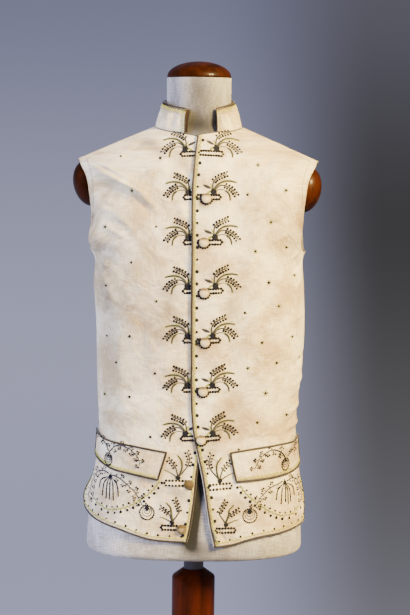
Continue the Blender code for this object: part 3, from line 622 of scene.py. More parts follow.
# The chrome's colour is darkened: a painted reflection of a dark room.
CHROME, tree, shader = new_finish("chromed_steel", {"Metallic": 0.7, "Base Color": linear("5a5960")})
where = add(tree, "TexCoord")
smears = add(tree, "TexNoise", {"Scale": 45.0, "Detail": 4.0}, {"Vector": where.outputs["Object"]})
gloss = add(tree, "MapRange", {"To Min": 0.3, "To Max": 0.45}, {"Value": smears})
join(tree, shader, {"Roughness": gloss})
print("finishes:", sorted(m.name for m in bpy.data.materials if m.use_nodes))

# %% [markdown]
# ## Gathering meshes
# Thousands of stitches would be slow as objects of their own, so a heap gathers points and faces as
# arrays and turns them into one mesh. The same goes for the cloth. Every finished piece rides on the
# part's one body, and a piece that stands for a solid says which.

# %% Heaps and pieces
class Heap:
    """Points and faces gathered for one mesh."""

    def __init__(self):
        self.points = []
        self.faces = []
        self.count = 0

    def put(self, points, faces):
        """Adds points and the faces between them, which count from this batch's first point."""
        points = np.asarray(points, float).reshape(-1, 3)
        self.faces += [tuple(i + self.count for i in face) for face in faces]
        self.points.append(points)
        self.count += len(points)


def piece(name, points, faces, finishes, replaces=(), uv=None, soil=None, inside=()):
    """Makes a mesh object that rides on the part; inside holds the faces with the second finish."""
    mesh = bpy.data.meshes.new(name)
    mesh.from_pydata(np.asarray(points).tolist(), [], faces)
    for finish in finishes:
        mesh.materials.append(finish)
    if len(inside):
        numbers = np.zeros(len(mesh.polygons), dtype=np.int32)
        numbers[inside] = 1
        mesh.polygons.foreach_set("material_index", numbers)
    corners = np.zeros(len(mesh.loops), dtype=np.int32)
    mesh.loops.foreach_get("vertex_index", corners)
    if uv is not None:
        layer = mesh.uv_layers.new(name="cut")
        layer.data.foreach_set("uv", np.asarray(uv, dtype=np.float32)[corners].ravel())
    if soil is not None:
        # The darkening attribute holds soil and painted shade.
        darkening = mesh.attributes.new("soil", "FLOAT", "POINT")
        darkening.data.foreach_set("value", np.asarray(soil, dtype=np.float32))
    mesh.shade_smooth()
    thing = bpy.data.objects.new(name, mesh)
    bpy.context.scene.collection.objects.link(thing)
    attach(thing, "root")
    if replaces:
        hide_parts(*replaces)
    return thing


def grid_faces(rows, columns, start=0, flip=False, closed=False):
    """The quads of a grid of points; closed joins the last column to the first."""
    faces = []
    for low in range(start, start + (rows - 1) * columns, columns):
        for c in range(columns if closed else columns - 1):
            d = (c + 1) % columns
            quad = (low + c, low + d, low + columns + d, low + columns + c)
            faces.append(quad[::-1] if flip else quad)
    return faces


def tube_faces(rings, sides):
    """The faces of a tube of rings that is closed at both ends."""
    ends = [tuple(range(sides))[::-1], tuple(range((rings - 1) * sides, rings * sides))]
    return grid_faces(rings, sides, closed=True) + ends


LEFT_CUT_FROM = 0.61


def shell(name, outer, inner, finishes, replaces, soil, flip=False):
    """A thin piece of cloth between two grids; a second finish lines its inner face.

    Its UV map is measured over the cloth, in metres. The pieces at the wearer's left start farther
    along, so no streak repeats across the front.
    """
    rows, columns = outer.shape[:2]
    count = rows * columns
    faces = grid_faces(rows, columns, 0, flip)
    outside = len(faces)
    faces += grid_faces(rows, columns, count, not flip)
    inside = np.arange(outside, len(faces)) if len(finishes) > 1 else ()
    number = np.arange(count).reshape(rows, columns)
    rim = [*number[0], *number[1:, -1], *number[-1, -2::-1], *number[-2:0:-1, 0]]
    rim = [int(i) for i in rim]
    for a, b in zip(rim, rim[1:] + rim[:1]):
        faces.append((a, a + count, b + count, b) if not flip else (a, b, b + count, a + count))
    across = np.linalg.norm(np.diff(outer, axis=1), axis=-1)
    along = np.linalg.norm(np.diff(outer, axis=0), axis=-1)
    first = np.full((rows, 1), LEFT_CUT_FROM if outer[..., 0].mean() > 0 else 0.0)
    u = np.cumsum(np.concatenate([first, across], axis=1), axis=1)
    v = np.concatenate([np.zeros((1, columns)), np.cumsum(along, axis=0)], axis=0)
    uv = np.concatenate([np.stack([u, v], axis=-1).reshape(-1, 2)] * 2)
    points = np.concatenate([outer.reshape(-1, 3), inner.reshape(-1, 3)])
    return piece(name, points, faces, finishes, replaces, uv, np.tile(soil.ravel(), 2), inside)


def area_of(grid):
    """The area of a grid's surface in square metres."""
    a = np.cross(grid[1:, 1:] - grid[:-1, :-1], grid[1:, :-1] - grid[:-1, 1:])
    return 0.5 * np.linalg.norm(a, axis=-1).sum()

# %% [markdown]
# ## The fronts and the backs
# Each panel is a shell 1.2 mm thick: silk or linen outside, lining inside. Soil is where it gathers
# on old silk: at the armholes, along the collar, and in a few stains. Painted shade is laid on the
# same way: a painted shadow beside each closed button, and painted shade along the lower part of the
# left front's edge, by the gap between the fronts. The stains and the painted shade are spots on the
# fronts with a place, a size and a strength.

# %% Panels
DarkPatch = namedtuple("DarkPatch", "x height wide tall strength")
STAINS_AND_SHADE = [DarkPatch(*row) for row in (
    (-84, 684, 16, 7, 0.55), (-66, 676, 14, 12, 0.3), (-128, 640, 22, 10, 0.22), (-158, 640, 14, 10, 0.3),
    (-170, 560, 14, 30, 0.45), (-166, 520, 10, 26, 0.4), (-150, 500, 14, 30, 0.35),
    (-120, 560, 40, 20, 0.2), (-20, 610, 14, 26, 0.3), (-18, 545, 12, 24, 0.25), (-150, 400, 12, 60, 0.22),
    (-110, 235, 50, 14, 0.22), (-30, 108, 24, 16, 0.5), (-24, 150, 10, 20, 0.35), (-92, 66, 40, 9, 0.25),
    (-30, 46, 14, 10, 0.45), (170, 560, 8, 40, 0.4), (150, 530, 18, 24, 0.3), (96, 600, 16, 40, 0.14),
    (110, 560, 50, 40, 0.1), (62, 96, 30, 14, 0.4), (40, 60, 12, 16, 0.3), (30, 190, 14, 20, 0.3),
    (170, 190, 10, 40, 0.3), (150, 110, 30, 12, 0.2), (44, 480, 14, 30, 0.15), (60, 210, 30, 12, 0.15),
    (-140, 440, 40, 40, 0.3), (-110, 395, 40, 50, 0.3), (-60, 400, 30, 40, 0.22), (-70, 350, 40, 40, 0.28),
    (-140, 330, 30, 40, 0.2), (-40, 440, 20, 30, 0.22), (38, 230, 10, 24, 0.5), (-84, 150, 24, 12, 0.4),
    (50, 40, 30, 14, 0.4), (80, 420, 30, 40, 0.2), (-124, 425, 36, 40, 0.18), (-43, 420, 26, 44, 0.42),
    (54, 420, 16, 30, 0.45), (70, 257, 24, 40, 0.3), (87, 322, 24, 30, 0.2), (152, 175, 20, 14, 0.3),
    (135, 93, 24, 20, 0.2), (-140, 600, 30, 26, 0.25), (-92, 630, 26, 14, 0.2), (-150, 480, 20, 40, 0.3),
    (-92, 300, 30, 30, 0.2), (-28, 640, 14, 30, 0.3), (60, 380, 20, 60, 0.2),
)]
# Painted shadows of the closed buttons, a little below each and towards the wearer's right.
BUTTON_SHADOWS = ((10, 590), (7, 520), (9, 438), (11, 358), (8, 277), (6, 197))
STAINS_AND_SHADE += [DarkPatch(*place, 10, 10, 1.0) for place in BUTTON_SHADOWS]
# Painted shade along the lower part of the left front's edge, beside the gap between the fronts.
LOWER_EDGE_SHADE = ((4, 150), (12, 130), (15, 104), (18, 78), (21, 52), (25, 24))
STAINS_AND_SHADE += [DarkPatch(*place, 5, 14, 0.6) for place in LOWER_EDGE_SHADE]
SHELL = 0.0012
ARMHOLE_SOIL, ARMHOLE_SOIL_COLUMNS = 0.3, 12


def soil_and_shade_at(points, rows=STAINS_AND_SHADE):
    """How much soil and painted shade darken the cloth at points of it."""
    x, height = points[..., 0] / MM, (points[..., 2] - FORM_BASE) / MM
    total = np.zeros(points.shape[:-1])
    for row in rows:
        far = -(((x - row.x) / row.wide) ** 2) - ((height - row.height) / row.tall) ** 2
        total += row.strength * np.exp(far)
    return np.where(points[..., 1] < 0, total, 0.0)


def lined_cloth(node, outer, inner, finish, soil, flip):
    """A lined piece that stands for its solid."""
    made = shell(f"{node}_cloth", outer, inner, [finish, TAN_LINING], [node], soil, flip)


Cut = namedtuple("Cut", "facing word finish slot flat")
CUTS = (
    Cut(1, "front", IVORY_SILK, "ivory_silk", (0.30, 0.72)),
    Cut(-1, "back", BACK_LINEN, "back_linen", (0.31, 0.70)),
)
for side in SIDES:
    for facing, word, finish, slot, flat in CUTS:
        outer, normal = seat(side, facing, *GRIDS[side.word, facing])
        rim = np.minimum(np.arange(COLUMNS + 1)[::-1], ARMHOLE_SOIL_COLUMNS) / ARMHOLE_SOIL_COLUMNS
        above = np.arange(outer.shape[0])[:, None] > BODY_ROWS
        # Stains, painted shade and soil at the armholes darken the panel.
        soil = soil_and_shade_at(outer) + ARMHOLE_SOIL * (1 - rim) ** 2 * above
        inner, flip = outer - normal * SHELL, side.sign * facing < 0
        node = f"{word}_{side.word}"
        lined_cloth(node, outer, inner, finish, soil, flip)

# %% [markdown]
# ## The collar
# A stand collar is a curved band. Its foot follows the neckline of the four panels from one front
# end round the back to the other, and its upper edge stands a little away from the neck. The silk
# has drawn up in soft upright creases. At the wearer's right end the tan facing shows beside the
# silk.

# %% Collar
COLLAR_CENTRE = -0.006
COLLAR_SIDE = 0.0580
COLLAR_DEPTH = 0.0640
COLLAR_FRONT_TOP = 0.7380
COLLAR_SIDE_TOP = 0.7520
COLLAR_BACK_TOP = 0.7600
COLLAR_TOP_TURN = 1.6
COLLAR_ENDS = {"right": 0.0225, "left": 0.0310}
COLLAR_BULGE = 0.0016
COLLAR_CREASE = 2.4
COLLAR_LIFT = 0.0009
COLLAR_INSET = 0.0004
COLLAR_STEPS = 180
COLLAR_ROWS = 24


def collar_foot(side):
    """The neckline on one side, from the collar's end to the centre back."""
    edges = []
    for facing in (1, -1):
        angle, height = (grid[BODY_ROWS + CHEST_ROWS :, 0] for grid in GRIDS[side.word, facing])
        edges.append(body_point(side.coat, angle, height) * (side.sign, 1, 1))
    edge = np.vstack([edges[0], edges[1][::-1][1:]]) + (0, 0, FORM_BASE)
    lengths = run_length(edge)
    front = slice(len(edges[0]))
    start = np.interp(COLLAR_ENDS[side.word], np.abs(edge[front, 0]), lengths[front])
    return at_lengths(edge, lengths, np.linspace(start, lengths[-1], COLLAR_STEPS + 1))


def outward(points):
    """Level directions away from the neck."""
    return unit((points - (0, COLLAR_CENTRE, 0)) * (1, 1, 0))


def collar_draw(toward, share):
    """How far the creases stand out, from -1 to 1, round the neck and up the collar."""
    turn = np.degrees(np.arctan2(toward[..., 0], -toward[..., 1]))
    leaning = turn + np.sign(turn) * 10 * (share - 0.5)
    draw = sum(depth * bump(leaning, at, wide) for at, wide, depth in COLLAR_CREASES)
    return draw * np.sin(np.pi * np.minimum(share * 1.15, 1.0))


def collar_place(foot, share, out=0.0):
    """Points of the collar above points of its foot, share of the way up."""
    toward = outward(foot)
    radius = 1 / np.hypot(toward[..., 0] / COLLAR_SIDE, toward[..., 1] / COLLAR_DEPTH)
    end_top = np.where(toward[..., 1] < 0, COLLAR_FRONT_TOP, COLLAR_BACK_TOP)
    height = COLLAR_SIDE_TOP + (end_top - COLLAR_SIDE_TOP) * np.abs(toward[..., 1]) ** COLLAR_TOP_TURN
    top = toward * radius[..., None] + (0, COLLAR_CENTRE, 0) + (height + FORM_BASE)[..., None] * (0, 0, 1)
    start = foot - toward * COLLAR_INSET + (0, 0, COLLAR_LIFT)
    rise = COLLAR_BULGE * np.sin(np.pi * share) + collar_draw(toward, share) * COLLAR_CREASE * MM + out
    return start + (top - start) * share[..., None] + toward * rise[..., None]


COLLAR_CREASES = (
    (34, 2.2, 0.9), (40, 2.6, -0.8), (46, 2.2, 0.9), (53, 3.2, -0.7), (62, 3.5, 0.7), (-30, 3.0, 0.6),
    (-38, 4.0, -0.7), (-50, 5.0, 0.8), (-64, 4.0, -0.5), (96, 6.0, 0.6), (128, 7.0, -0.6), (-110, 6.0, 0.6),
    (-140, 7.0, -0.6), (165, 6.0, 0.5),
)
feet = np.vstack([collar_foot(RIGHT), collar_foot(LEFT)[::-1][1:]])
share = np.linspace(0, 1, COLLAR_ROWS + 1)[:, None]
foot = np.broadcast_to(feet, (COLLAR_ROWS + 1, *feet.shape))
level = np.broadcast_to(share, foot.shape[:2])
outer, inner = collar_place(foot, level), collar_place(foot, level, -SHELL)
ends = np.minimum(np.arange(len(feet)), np.arange(len(feet))[::-1])
soil = 0.35 * bump(share, 1.0, 0.16) + 0.3 * bump(ends, 0, 10)[None, :] + 0.25 * bump(share, 0.0, 0.12)
# Painted shade in the troughs of the collar's creases.
soil = soil + 0.5 * np.clip(-collar_draw(outward(foot), share), 0, 1)
lined_cloth(
    "collar", outer, inner, IVORY_SILK, soil, False,
)
print("length at the collar's foot in mm:", round(run_length(feet)[-1] / MM))

# %% [markdown]
# ## The pocket flaps
# Each flap is a second layer on a front. It is made from the front's own surface, moved out, so it
# follows every curve of the body under it. Its edges stay close to the cloth and its middle rises a
# little, as a lined flap does.

# %% Pocket flaps
FLAP = table(
    "Flap", "share right_top right_bottom left_top left_bottom",
    (0.00, 0.1810, 0.1360, 0.1815, 0.1342), (0.25, 0.1872, 0.1425, 0.1870, 0.1365),
    (0.50, 0.1908, 0.1472, 0.1896, 0.1395), (0.75, 0.1945, 0.1560, 0.1920, 0.1442),
    (1.00, 0.2030, 0.1650, 0.1965, 0.1510),
)
FLAP_OUTER_ANGLE = 3.0
FLAP_OUT, FLAP_SINK, FLAP_PUFF = 0.0033, 0.0002, 0.0003
FLAP_COLUMNS = 64
FLAP_ROWS = 20


def flap_lines(side, share, down):
    """The angle and height of points of a flap: share from its inner end, down from its top edge."""
    top, bottom = (column(FLAP, f"{side.word}_{word}", share) for word in ("top", "bottom"))
    height = top + (bottom - top) * down
    first = angle_at(side, side.flap_top + (side.flap_bottom - side.flap_top) * down, height)
    return first + (FLAP_OUTER_ANGLE - first) * share, height


for side in SIDES:
    share, down = np.meshgrid(np.linspace(0, 1, FLAP_COLUMNS + 1), np.linspace(0, 1, FLAP_ROWS + 1))
    middle = FLAP_PUFF * np.sin(np.pi * down) * (0.6 + 0.4 * np.sin(9 * share + side.sign))
    outer, normal = seat(side, 1, *flap_lines(side, share, down), FLAP_OUT - FLAP_SINK + middle)
    lined_cloth(
        f"pocket_flap_{side.word}", outer, outer - normal * SHELL, IVORY_SILK, soil_and_shade_at(outer),
        side is LEFT,
    )

# %% [markdown]
# ## The collar's facing
# At the collar's right end the lining has turned forward, so a narrow strip of it shows beside the
# silk. It is darkened by painted shade, most at its free edge.

# %% Collar facing
FACING_TOP, FACING_FOOT = 0.0098, 0.0042
FACING_BACK, FACING_BOW, FACING_THICK = 0.0016, 0.0012, 0.0008
Fold = namedtuple("Fold", "share soil")
# How much painted shade darkens the facing at each fold, most at its free edge.
FACING_FOLDS = (Fold(1.0, 2.0), Fold(0.7, 1.5), Fold(0.35, 0.5), Fold(0.0, 0.2))


def from_neck(points):
    """Directions away from the middle of the neck, without their height."""
    return unit(points - (0, COLLAR_CENTRE, 0)) * (1, 1, 0)


up = np.linspace(0.03, 0.97, 13)
strip = feet[0] + unit(feet[0] - feet[1]) * (FACING_FOOT + (FACING_TOP - FACING_FOOT) * up)[:, None]
first = collar_place(np.repeat(feet[2:3], len(up), axis=0), up, -FACING_BACK)
last = collar_place(strip, up, -FACING_BACK)
run = last - first - from_neck(last) * FACING_BOW
outer = np.stack([first + run * fold.share for fold in FACING_FOLDS], axis=1)
soil = np.broadcast_to([fold.soil for fold in FACING_FOLDS], outer.shape[:2])
shell("collar_facing", outer, outer - from_neck(outer) * FACING_THICK, [TAN_LINING], (), soil)
print("the facing's area in square metres:", round(area_of(outer), 5))

# %% [markdown]
# ## Threads and spangles
# Three tools draw all of the needlework: a thread along points of the cloth, as thick as is asked
# at each point; a spangle, which is a small disc with a rim and a raised middle; and a satin leaf.
# All stand on the cloth's own points and outward directions.

# %% Needle tools
def thread(heap, points, normals, radius, sides=5, closed=False, flat=1.0):
    """A thread along points that lie on the cloth, flattened by flat; radius may vary along it."""
    after, before = np.roll(points, -1, axis=0), np.roll(points, 1, axis=0)
    tangent = unit(after - before if closed else np.gradient(points, axis=0))
    across = unit(np.cross(tangent, normals))
    upward = np.cross(across, tangent)
    turn = np.linspace(0, 2 * np.pi, sides, endpoint=False)[:, None]
    radius = np.broadcast_to(np.asarray(radius, float), len(points))[:, None, None]
    ring = across[:, None] * np.cos(turn) + upward[:, None] * flat * np.sin(turn)
    count = len(points)
    if closed:
        loop = grid_faces(count + 1, sides, closed=True)
        faces = [tuple(i % (count * sides) for i in quad) for quad in loop]
    else:
        faces = tube_faces(count, sides)
    heap.put(points[:, None] + radius * ring, faces)


def spangles(heap, points, normals, radius, sides=9):
    """Small domed discs standing on the cloth."""
    radius = np.broadcast_to(np.asarray(radius, float), len(points))
    side = unit(np.cross(normals, (0.31, 0.2, 0.93)))
    other = np.cross(normals, side)
    turn = np.linspace(0, 2 * np.pi, sides, endpoint=False)
    for at, out, u, v, r in zip(points + normals * 0.0003, normals, side, other, radius):
        ring = u * np.cos(turn)[:, None] + v * np.sin(turn)[:, None]
        low, rim, top = at + ring * r, at + ring * r + out * 0.0004, at + ring * r * 0.8 + out * 0.0008
        faces = grid_faces(3, sides, closed=True) + [tuple(range(2 * sides, 3 * sides))]
        heap.put(np.vstack([low, rim, top]), faces)


LEAF_RISE = 0.0006


def leaf(heap, points, normals, width):
    """A satin-stitched leaf along points: pointed at both ends and a little raised."""
    across = unit(np.cross(unit(np.gradient(points, axis=0)), normals))
    share = np.linspace(0, 1, len(points))
    swell = np.sin(np.pi * (0.05 + 0.9 * share))[:, None]
    half = across * (width / 2 * swell**0.8)
    ridge = points + normals * (LEAF_RISE * swell)
    heap.put(np.stack([points - half, ridge, points + half], axis=1), grid_faces(len(points), 3))


def curve(knots, step):
    """A smooth line through (x, y) knots, in points about one step apart."""
    knots = np.array(knots, float)
    return spread(smooth_line(knots, 2 * knots[0] - knots[1], 2 * knots[-1] - knots[-2], 16), step)


def spread(line, step, measured=None):
    """The same line in even steps, by its own length or by measured points of it."""
    lengths = run_length(line if measured is None else measured)
    return at_lengths(line, lengths, np.linspace(0, lengths[-1], max(int(lengths[-1] / step), 2) + 1))


# %% [markdown]
# ## Borders
# Along every cut edge of a front runs a brown cord, then a straight and a wavy line of yellow-green
# floss, then single spangles, large and small by turns. The lines are taken from the panel's grid and
# moved inward across the cloth. A tailor would have pounced them through a pricked paper.

# %% Lines along the cut
def cut_line(side, edge):
    """The (angle, height) points of one of a front's edges."""
    angle, height = GRIDS[side.word, 1]
    neck = BODY_ROWS + CHEST_ROWS
    vent = int(np.sum(height[:BODY_ROWS, -1] < VENT_TOP))
    pick = {
        "edge": (slice(neck, None, -1), 0),
        "hem": (0, slice(None)),
        "vent": (slice(0, vent), -1),
        "neck": (slice(neck, None), 0),
        "shoulder": (-1, slice(None)),
        "armhole": (slice(BODY_ROWS, None), -1),
        "side": (slice(vent, BODY_ROWS), -1),
    }[edge]
    return np.stack([angle[pick], height[pick]], axis=-1)


def walk(side, edge, step):
    """An edge of a front in even steps over the cloth."""
    line = cut_line(side, edge)
    return spread(line, step, cloth(side, 1, *line.T))


def inward(side, line, distance):
    """The line moved into its front by a distance over the cloth."""
    a, h = line.T
    degree = np.linalg.norm(body_point(side.coat, a + 0.5, h) - body_point(side.coat, a - 0.5, h), axis=-1)
    run = unit(np.stack([np.gradient(a) * degree, np.gradient(h)], axis=-1))
    distance = np.broadcast_to(distance, len(line))
    return np.stack([a + run[:, 1] * distance / degree, h - run[:, 0] * distance], axis=-1)


CORD = 0.0016
CORD_IN, CORD_IN_LOW = 0.0012, {"left": 0.0027, "right": 0.0012}
LINE_IN = 0.0024
Trim = namedtuple("Trim", "wave_in wave_thread dots")
TRIMS = {
    "edge": Trim(0.0046, 0.0014, 1.0),
    "hem": Trim(0.0056, 0.0010, 0.72),
    "vent": Trim(0.0045, 0.0010, 0.72),
}
TRIM_STEP, WAVE_HIGH, WAVE_LONG = 0.0007, 0.0009, 0.0066
DOT_OUT, DOT_APART = 0.0034, 0.0200
DOT_LARGE, DOT_SMALL = 0.0029, 0.0022
SEAM_THREAD, SEAM_STEP = 0.00035, 0.002
SEAM_IN, SEAM_WIDENS = 0.006, 0.016
CORD_LIFT, STITCH_LIFT, WAVE_LIFT = 0.0003, 0.0001, 0.0004
NECK_CORD, HEM_STITCH, SEAM_STITCH = 0.0007, 0.0004, 0.0005
FIRST_DOT, LAST_DOT = 13, -14
HEAPS = {side.word: {kind: Heap() for kind in THREADS} for side in SIDES}


def lay(side, kind, line, out, radius, sides=5, flat=1.0):
    """A thread along (angle, height) points of a front, standing out from it."""
    thread(HEAPS[side.word][kind], *seat(side, 1, *line.T, out), radius, sides, flat=flat)


def trim(side, edge):
    """Cord, floss and spangles along one edge of a front."""
    kind, line = TRIMS[edge], walk(side, edge, TRIM_STEP)
    low = (CORD_IN_LOW[side.word] - CORD_IN) * (1 - smooth_step(0.14, 0.26, line[:, 1]))
    start = CORD_IN + low * (edge == "edge")
    lay(side, "cord", inward(side, line, start)[::3], CORD_LIFT, CORD, 6)
    lay(side, "stitch", inward(side, line, start + LINE_IN), STITCH_LIFT, HEM_STITCH, 4)
    swing = WAVE_HIGH * np.sin(np.arange(len(line)) * TRIM_STEP / WAVE_LONG * 2 * np.pi)
    wave = inward(side, line, start + kind.wave_in + swing)
    lay(side, "lime", wave, WAVE_LIFT, kind.wave_thread, 4, 0.5)
    every = slice(FIRST_DOT, LAST_DOT, int(DOT_APART / TRIM_STEP))
    spots = inward(side, line, start + kind.wave_in + DOT_OUT)[every]
    sizes = np.where(np.arange(len(spots)) % 3 == 1, DOT_SMALL, DOT_LARGE) * kind.dots
    spangles(HEAPS[side.word]["spangle"], *seat(side, 1, *spots.T), sizes, 12)
    print(side.word, edge, "length in mm:", round((len(line) - 1) * TRIM_STEP / MM), "spangles:", len(spots))


for side in SIDES:
    for edge in TRIMS:
        trim(side, edge)
    lay(side, "cord", walk(side, "neck", SEAM_STEP), CORD_LIFT, NECK_CORD)
    for edge, distance in (("armhole", 0.0006), ("shoulder", 0.0004), ("side", 0.0004)):
        lay(side, "stitch", inward(side, walk(side, edge, SEAM_STEP), distance), 0.0, SEAM_STITCH)
    hole = walk(side, "armhole", SEAM_STEP)
    upper = np.clip(np.linspace(-1.1, 1.0, len(hole)), 0, 1)
    seam = inward(side, hole, SEAM_IN + SEAM_WIDENS * upper)[upper > 0]
    lay(side, "mauve", seam, 0.0, SEAM_THREAD)

# %% [markdown]
# ## Drawing motifs
# A motif is drawn once in millimetres, u away from the front's edge and v up, and is set out on a
# front with a place, a tilt and a size. Flat coordinates become points on the cloth only at the end.
# A few small drawings make up all the flowers: a spray of spangles in pairs on a mauve stem, a fern
# with short side stitches, a leaf, a ring of spangles, a knot and a trefoil.

# %% Motif drawings
Spot = namedtuple("Spot", "side x height tilt size lift")
BOLD = 1.7
DOT_SCALE = 1.48
FLOSS_LIFT = 0.0002


def tilted(u, v, tilt):
    """Flat coordinates turned by tilt degrees."""
    turn = math.radians(tilt)
    return u * math.cos(turn) - v * math.sin(turn), u * math.sin(turn) + v * math.cos(turn)


def on_spot(spot, points):
    """Motif points in millimetres as x and height in metres."""
    u, v = tilted(*(np.asarray(points, float).T * spot.size * MM), spot.tilt)
    return spot.side.sign * (spot.x * MM + u), spot.height * MM + v


def sew(spot, kind, knots, radius, step=1.6):
    """A line of floss through motif points, thinner at its tip."""
    points = curve(knots, step)
    thick = radius * BOLD * MM * np.linspace(1.0, 0.6, len(points))
    place = seat_front(spot.side, *on_spot(spot, points), spot.lift + FLOSS_LIFT)
    thread(HEAPS[spot.side.word][kind], *place, thick, 4, flat=0.5)


def dots(spot, points, radius):
    """Spangles at motif points."""
    sizes = radius * DOT_SCALE * MM * np.array([random.uniform(0.85, 1.15) for _ in points])
    place = seat_front(spot.side, *on_spot(spot, points), spot.lift)
    spangles(HEAPS[spot.side.word]["spangle"], *place, sizes)


def satin(spot, kind, knots, width):
    """A satin-stitched leaf."""
    place = seat_front(spot.side, *on_spot(spot, curve(knots, 1.2)), spot.lift + FLOSS_LIFT)
    leaf(HEAPS[spot.side.word][kind], *place, width * MM * spot.size)


def sides_of(line, keep):
    """The last points of a line, its directions there and the directions square to it."""
    run = unit(np.gradient(line, axis=0))
    return line[-keep:], run[-keep:], np.stack([-run[:, 1], run[:, 0]], axis=-1)[-keep:]


def spray(spot, knots, pairs=6, apart=4.4, out=3.3, radius=1.38):
    """A mauve stem whose end carries spangles in pairs on slanting stalks."""
    sew(spot, "mauve", knots, 0.85)
    at, run, square = sides_of(curve(knots, apart), pairs)
    for way in (1, -1):
        tips = at + square * out * way + run * (1.2 + 0.8 * way)
        dots(spot, tips, radius)
        for foot, tip in zip(at - run * 1.0, tips):
            sew(spot, "mauve", [foot, tip], 0.42, 2.0)


def fern(spot, knots, share=0.6, long=4.0, way=0):
    """A stem of floss with fine stitches along its end, on both sides or on one."""
    sew(spot._replace(lift=spot.lift + 0.0004), "olive", knots, 1.1)
    sew(spot, "lime", [(u + 0.9, v - 0.9) for u, v in knots], 0.7)
    line = curve(knots, 2.8)
    at, run, square = sides_of(line, int(len(line) * share))
    for i, (foot, along, out) in enumerate(zip(at, run, square)):
        size = long * (1 - 0.5 * i / len(at))
        for turn in (way,) if way else (1, -1):
            sew(spot, "green", [foot, foot + along * size * 0.75 + out * turn * size * 0.75], 0.5, 1.6)


def base_ring(spot, centre, half_long, tilt=0.0, half_high=3.4, radius=1.48, apart=4.3):
    """A long ring of spangles with pointed ends, such as stands round a buttonhole."""
    across = np.linspace(2.6 - half_long, half_long - 2.6, int(2 * half_long / apart))
    rows = [(u, v) for v in (half_high, -half_high) for u in across] + [(half_long, 0), (-half_long, 0)]
    dots(spot, np.stack(tilted(*np.array(rows).T, tilt), axis=-1) + centre, radius)


def knot(spot, centre, radius):
    """A tight cluster of spangles with loops of dark floss over it."""
    around = [(radius * math.cos(t), radius * math.sin(t)) for t in np.linspace(0, 2 * np.pi, 7)[:-1]]
    dots(spot, np.array(around + [(0, 0)]) + centre, 0.45 * radius)
    for turn in (0, 60, 120):
        u, v = radius * math.cos(math.radians(turn)), radius * math.sin(math.radians(turn))
        sew(spot, "mauve", np.array([(-u, -v), (-v * 0.3, u * 0.3), (u, v)]) + centre, 0.5)


TREFOIL_DOT = 1.02


def trefoil(spot, foot, tip):
    """A short stem with three spangles at its end."""
    foot, tip = np.array(foot, float), np.array(tip, float)
    sew(spot, "mauve", [foot, tip], 0.4)
    along = unit(tip - foot)
    across = np.array([-along[1], along[0]])
    dots(spot, np.array([tip + along * 2.2, tip + across * 2.4, tip - across * 2.4]), TREFOIL_DOT)


# %% [markdown]
# ## Buttonhole sprigs
# A sprig stands at each button, on the left front and mirrored on the right one, where the lapping
# edge hides part of it. Its foot is a long ring of spangles round the buttonhole. From a dark knot
# rise a spray, a fern, a second spray that droops outward and a long olive leaf. On the skirts the
# sprigs grow upright.

# %% Sprigs
def button_sprig(spot, ring_in):
    """The sprig at a button; ring_in moves its ring towards the edge."""
    base_ring(spot, (-ring_in, -0.6), 19.5)
    knot(spot, (7.8, 7.8), 3.3)
    knot(spot, (10.5, 4.6), 2.0)
    satin(spot, "mauve", [(3.6, 13.4), (-2.0, 15.6), (-9.0, 18.4)], 5.2)
    for step in range(5):
        u = 1.6 - 2.1 * step
        sew(spot, "mauve", [(u, 12.8 - 0.45 * u), (u - 2.4, 17.6 - 0.45 * u)], 0.3, 1.6)
    sew(spot, "olive", [(8, 9), (5.6, 11.5), (3.4, 13.4)], 0.6)
    satin(spot, "green", [(7.4, 10), (4.6, 16), (2.0, 21.5)], 1.9)
    satin(spot, "green", [(8.2, 7.6), (3.5, 8.8), (-0.5, 6.8), (-3.4, 2.6)], 3.2)
    spray(spot, [(6.9, 10), (6.4, 17.6), (8.0, 24.0), (13.2, 29.2), (21.0, 33.0), (28.4, 36.0)])
    fern(spot, [(9, 10.4), (12.2, 16.6), (17.4, 21.6), (24.4, 24.9), (34.2, 25.7), (44.0, 23.8)])
    spray(spot, [(9.6, 10.2), (15.6, 16.4), (22.8, 18.4), (30.0, 16.3), (38.0, 11.6), (44.6, 3.6)])
    sew(spot, "olive", [(10, 8.6), (15, 11), (22, 11.6), (28.2, 9.0)], 0.6)
    satin(spot, "olive", [(24.5, 11.0), (30.2, 7.8), (33.6, 2.4), (34.6, -5.0)], 3.0)
    fern(spot, [(27, 9.8), (31, 7.0), (34.0, 1.6), (34.8, -4.6)], 0.9, 3.2, 1)


BUTTONS = table(
    "Button", "height x",
    (0.5954, 0.0143), (0.5251, 0.0112), (0.4437, 0.0128), (0.3633, 0.0149), (0.2827, 0.0125),
    (0.2027, 0.0105), (0.1291, -0.0085), (0.0564, -0.0199),
)
SPRIG_HEIGHTS = (667.2, 598.2, 526.0, 447.2, 366.5, 285.6, 205.6)
SPRIG_LEFT = (20.8, 17.8, 20.8, 23.0, 19.8, 19.8, 22.0)
SPRIG_RIGHT = (12.4, 6.9, 6.0, 6.2, 5.2, 5.0, 6.8)
SPRIG_TILTS = (-3, 0, 1, 3, 3, 3, 6)
for height, right, left, tilt in zip(SPRIG_HEIGHTS, SPRIG_RIGHT, SPRIG_LEFT, SPRIG_TILTS):
    button_sprig(Spot(LEFT, left, height, tilt, 1.0, 0.0), 0.0)
    button_sprig(Spot(RIGHT, right, height, -3, 0.97, 0.0), 3.4)
for button in BUTTONS[:6]:
    turns = np.radians(np.arange(165, 350, 24))
    spot = Spot(LEFT, button.x / MM, button.height / MM, 0, 1.0, 0.0)
    dots(spot, np.stack([np.cos(turns), np.sin(turns)], axis=-1) * 9.8, 1.2)


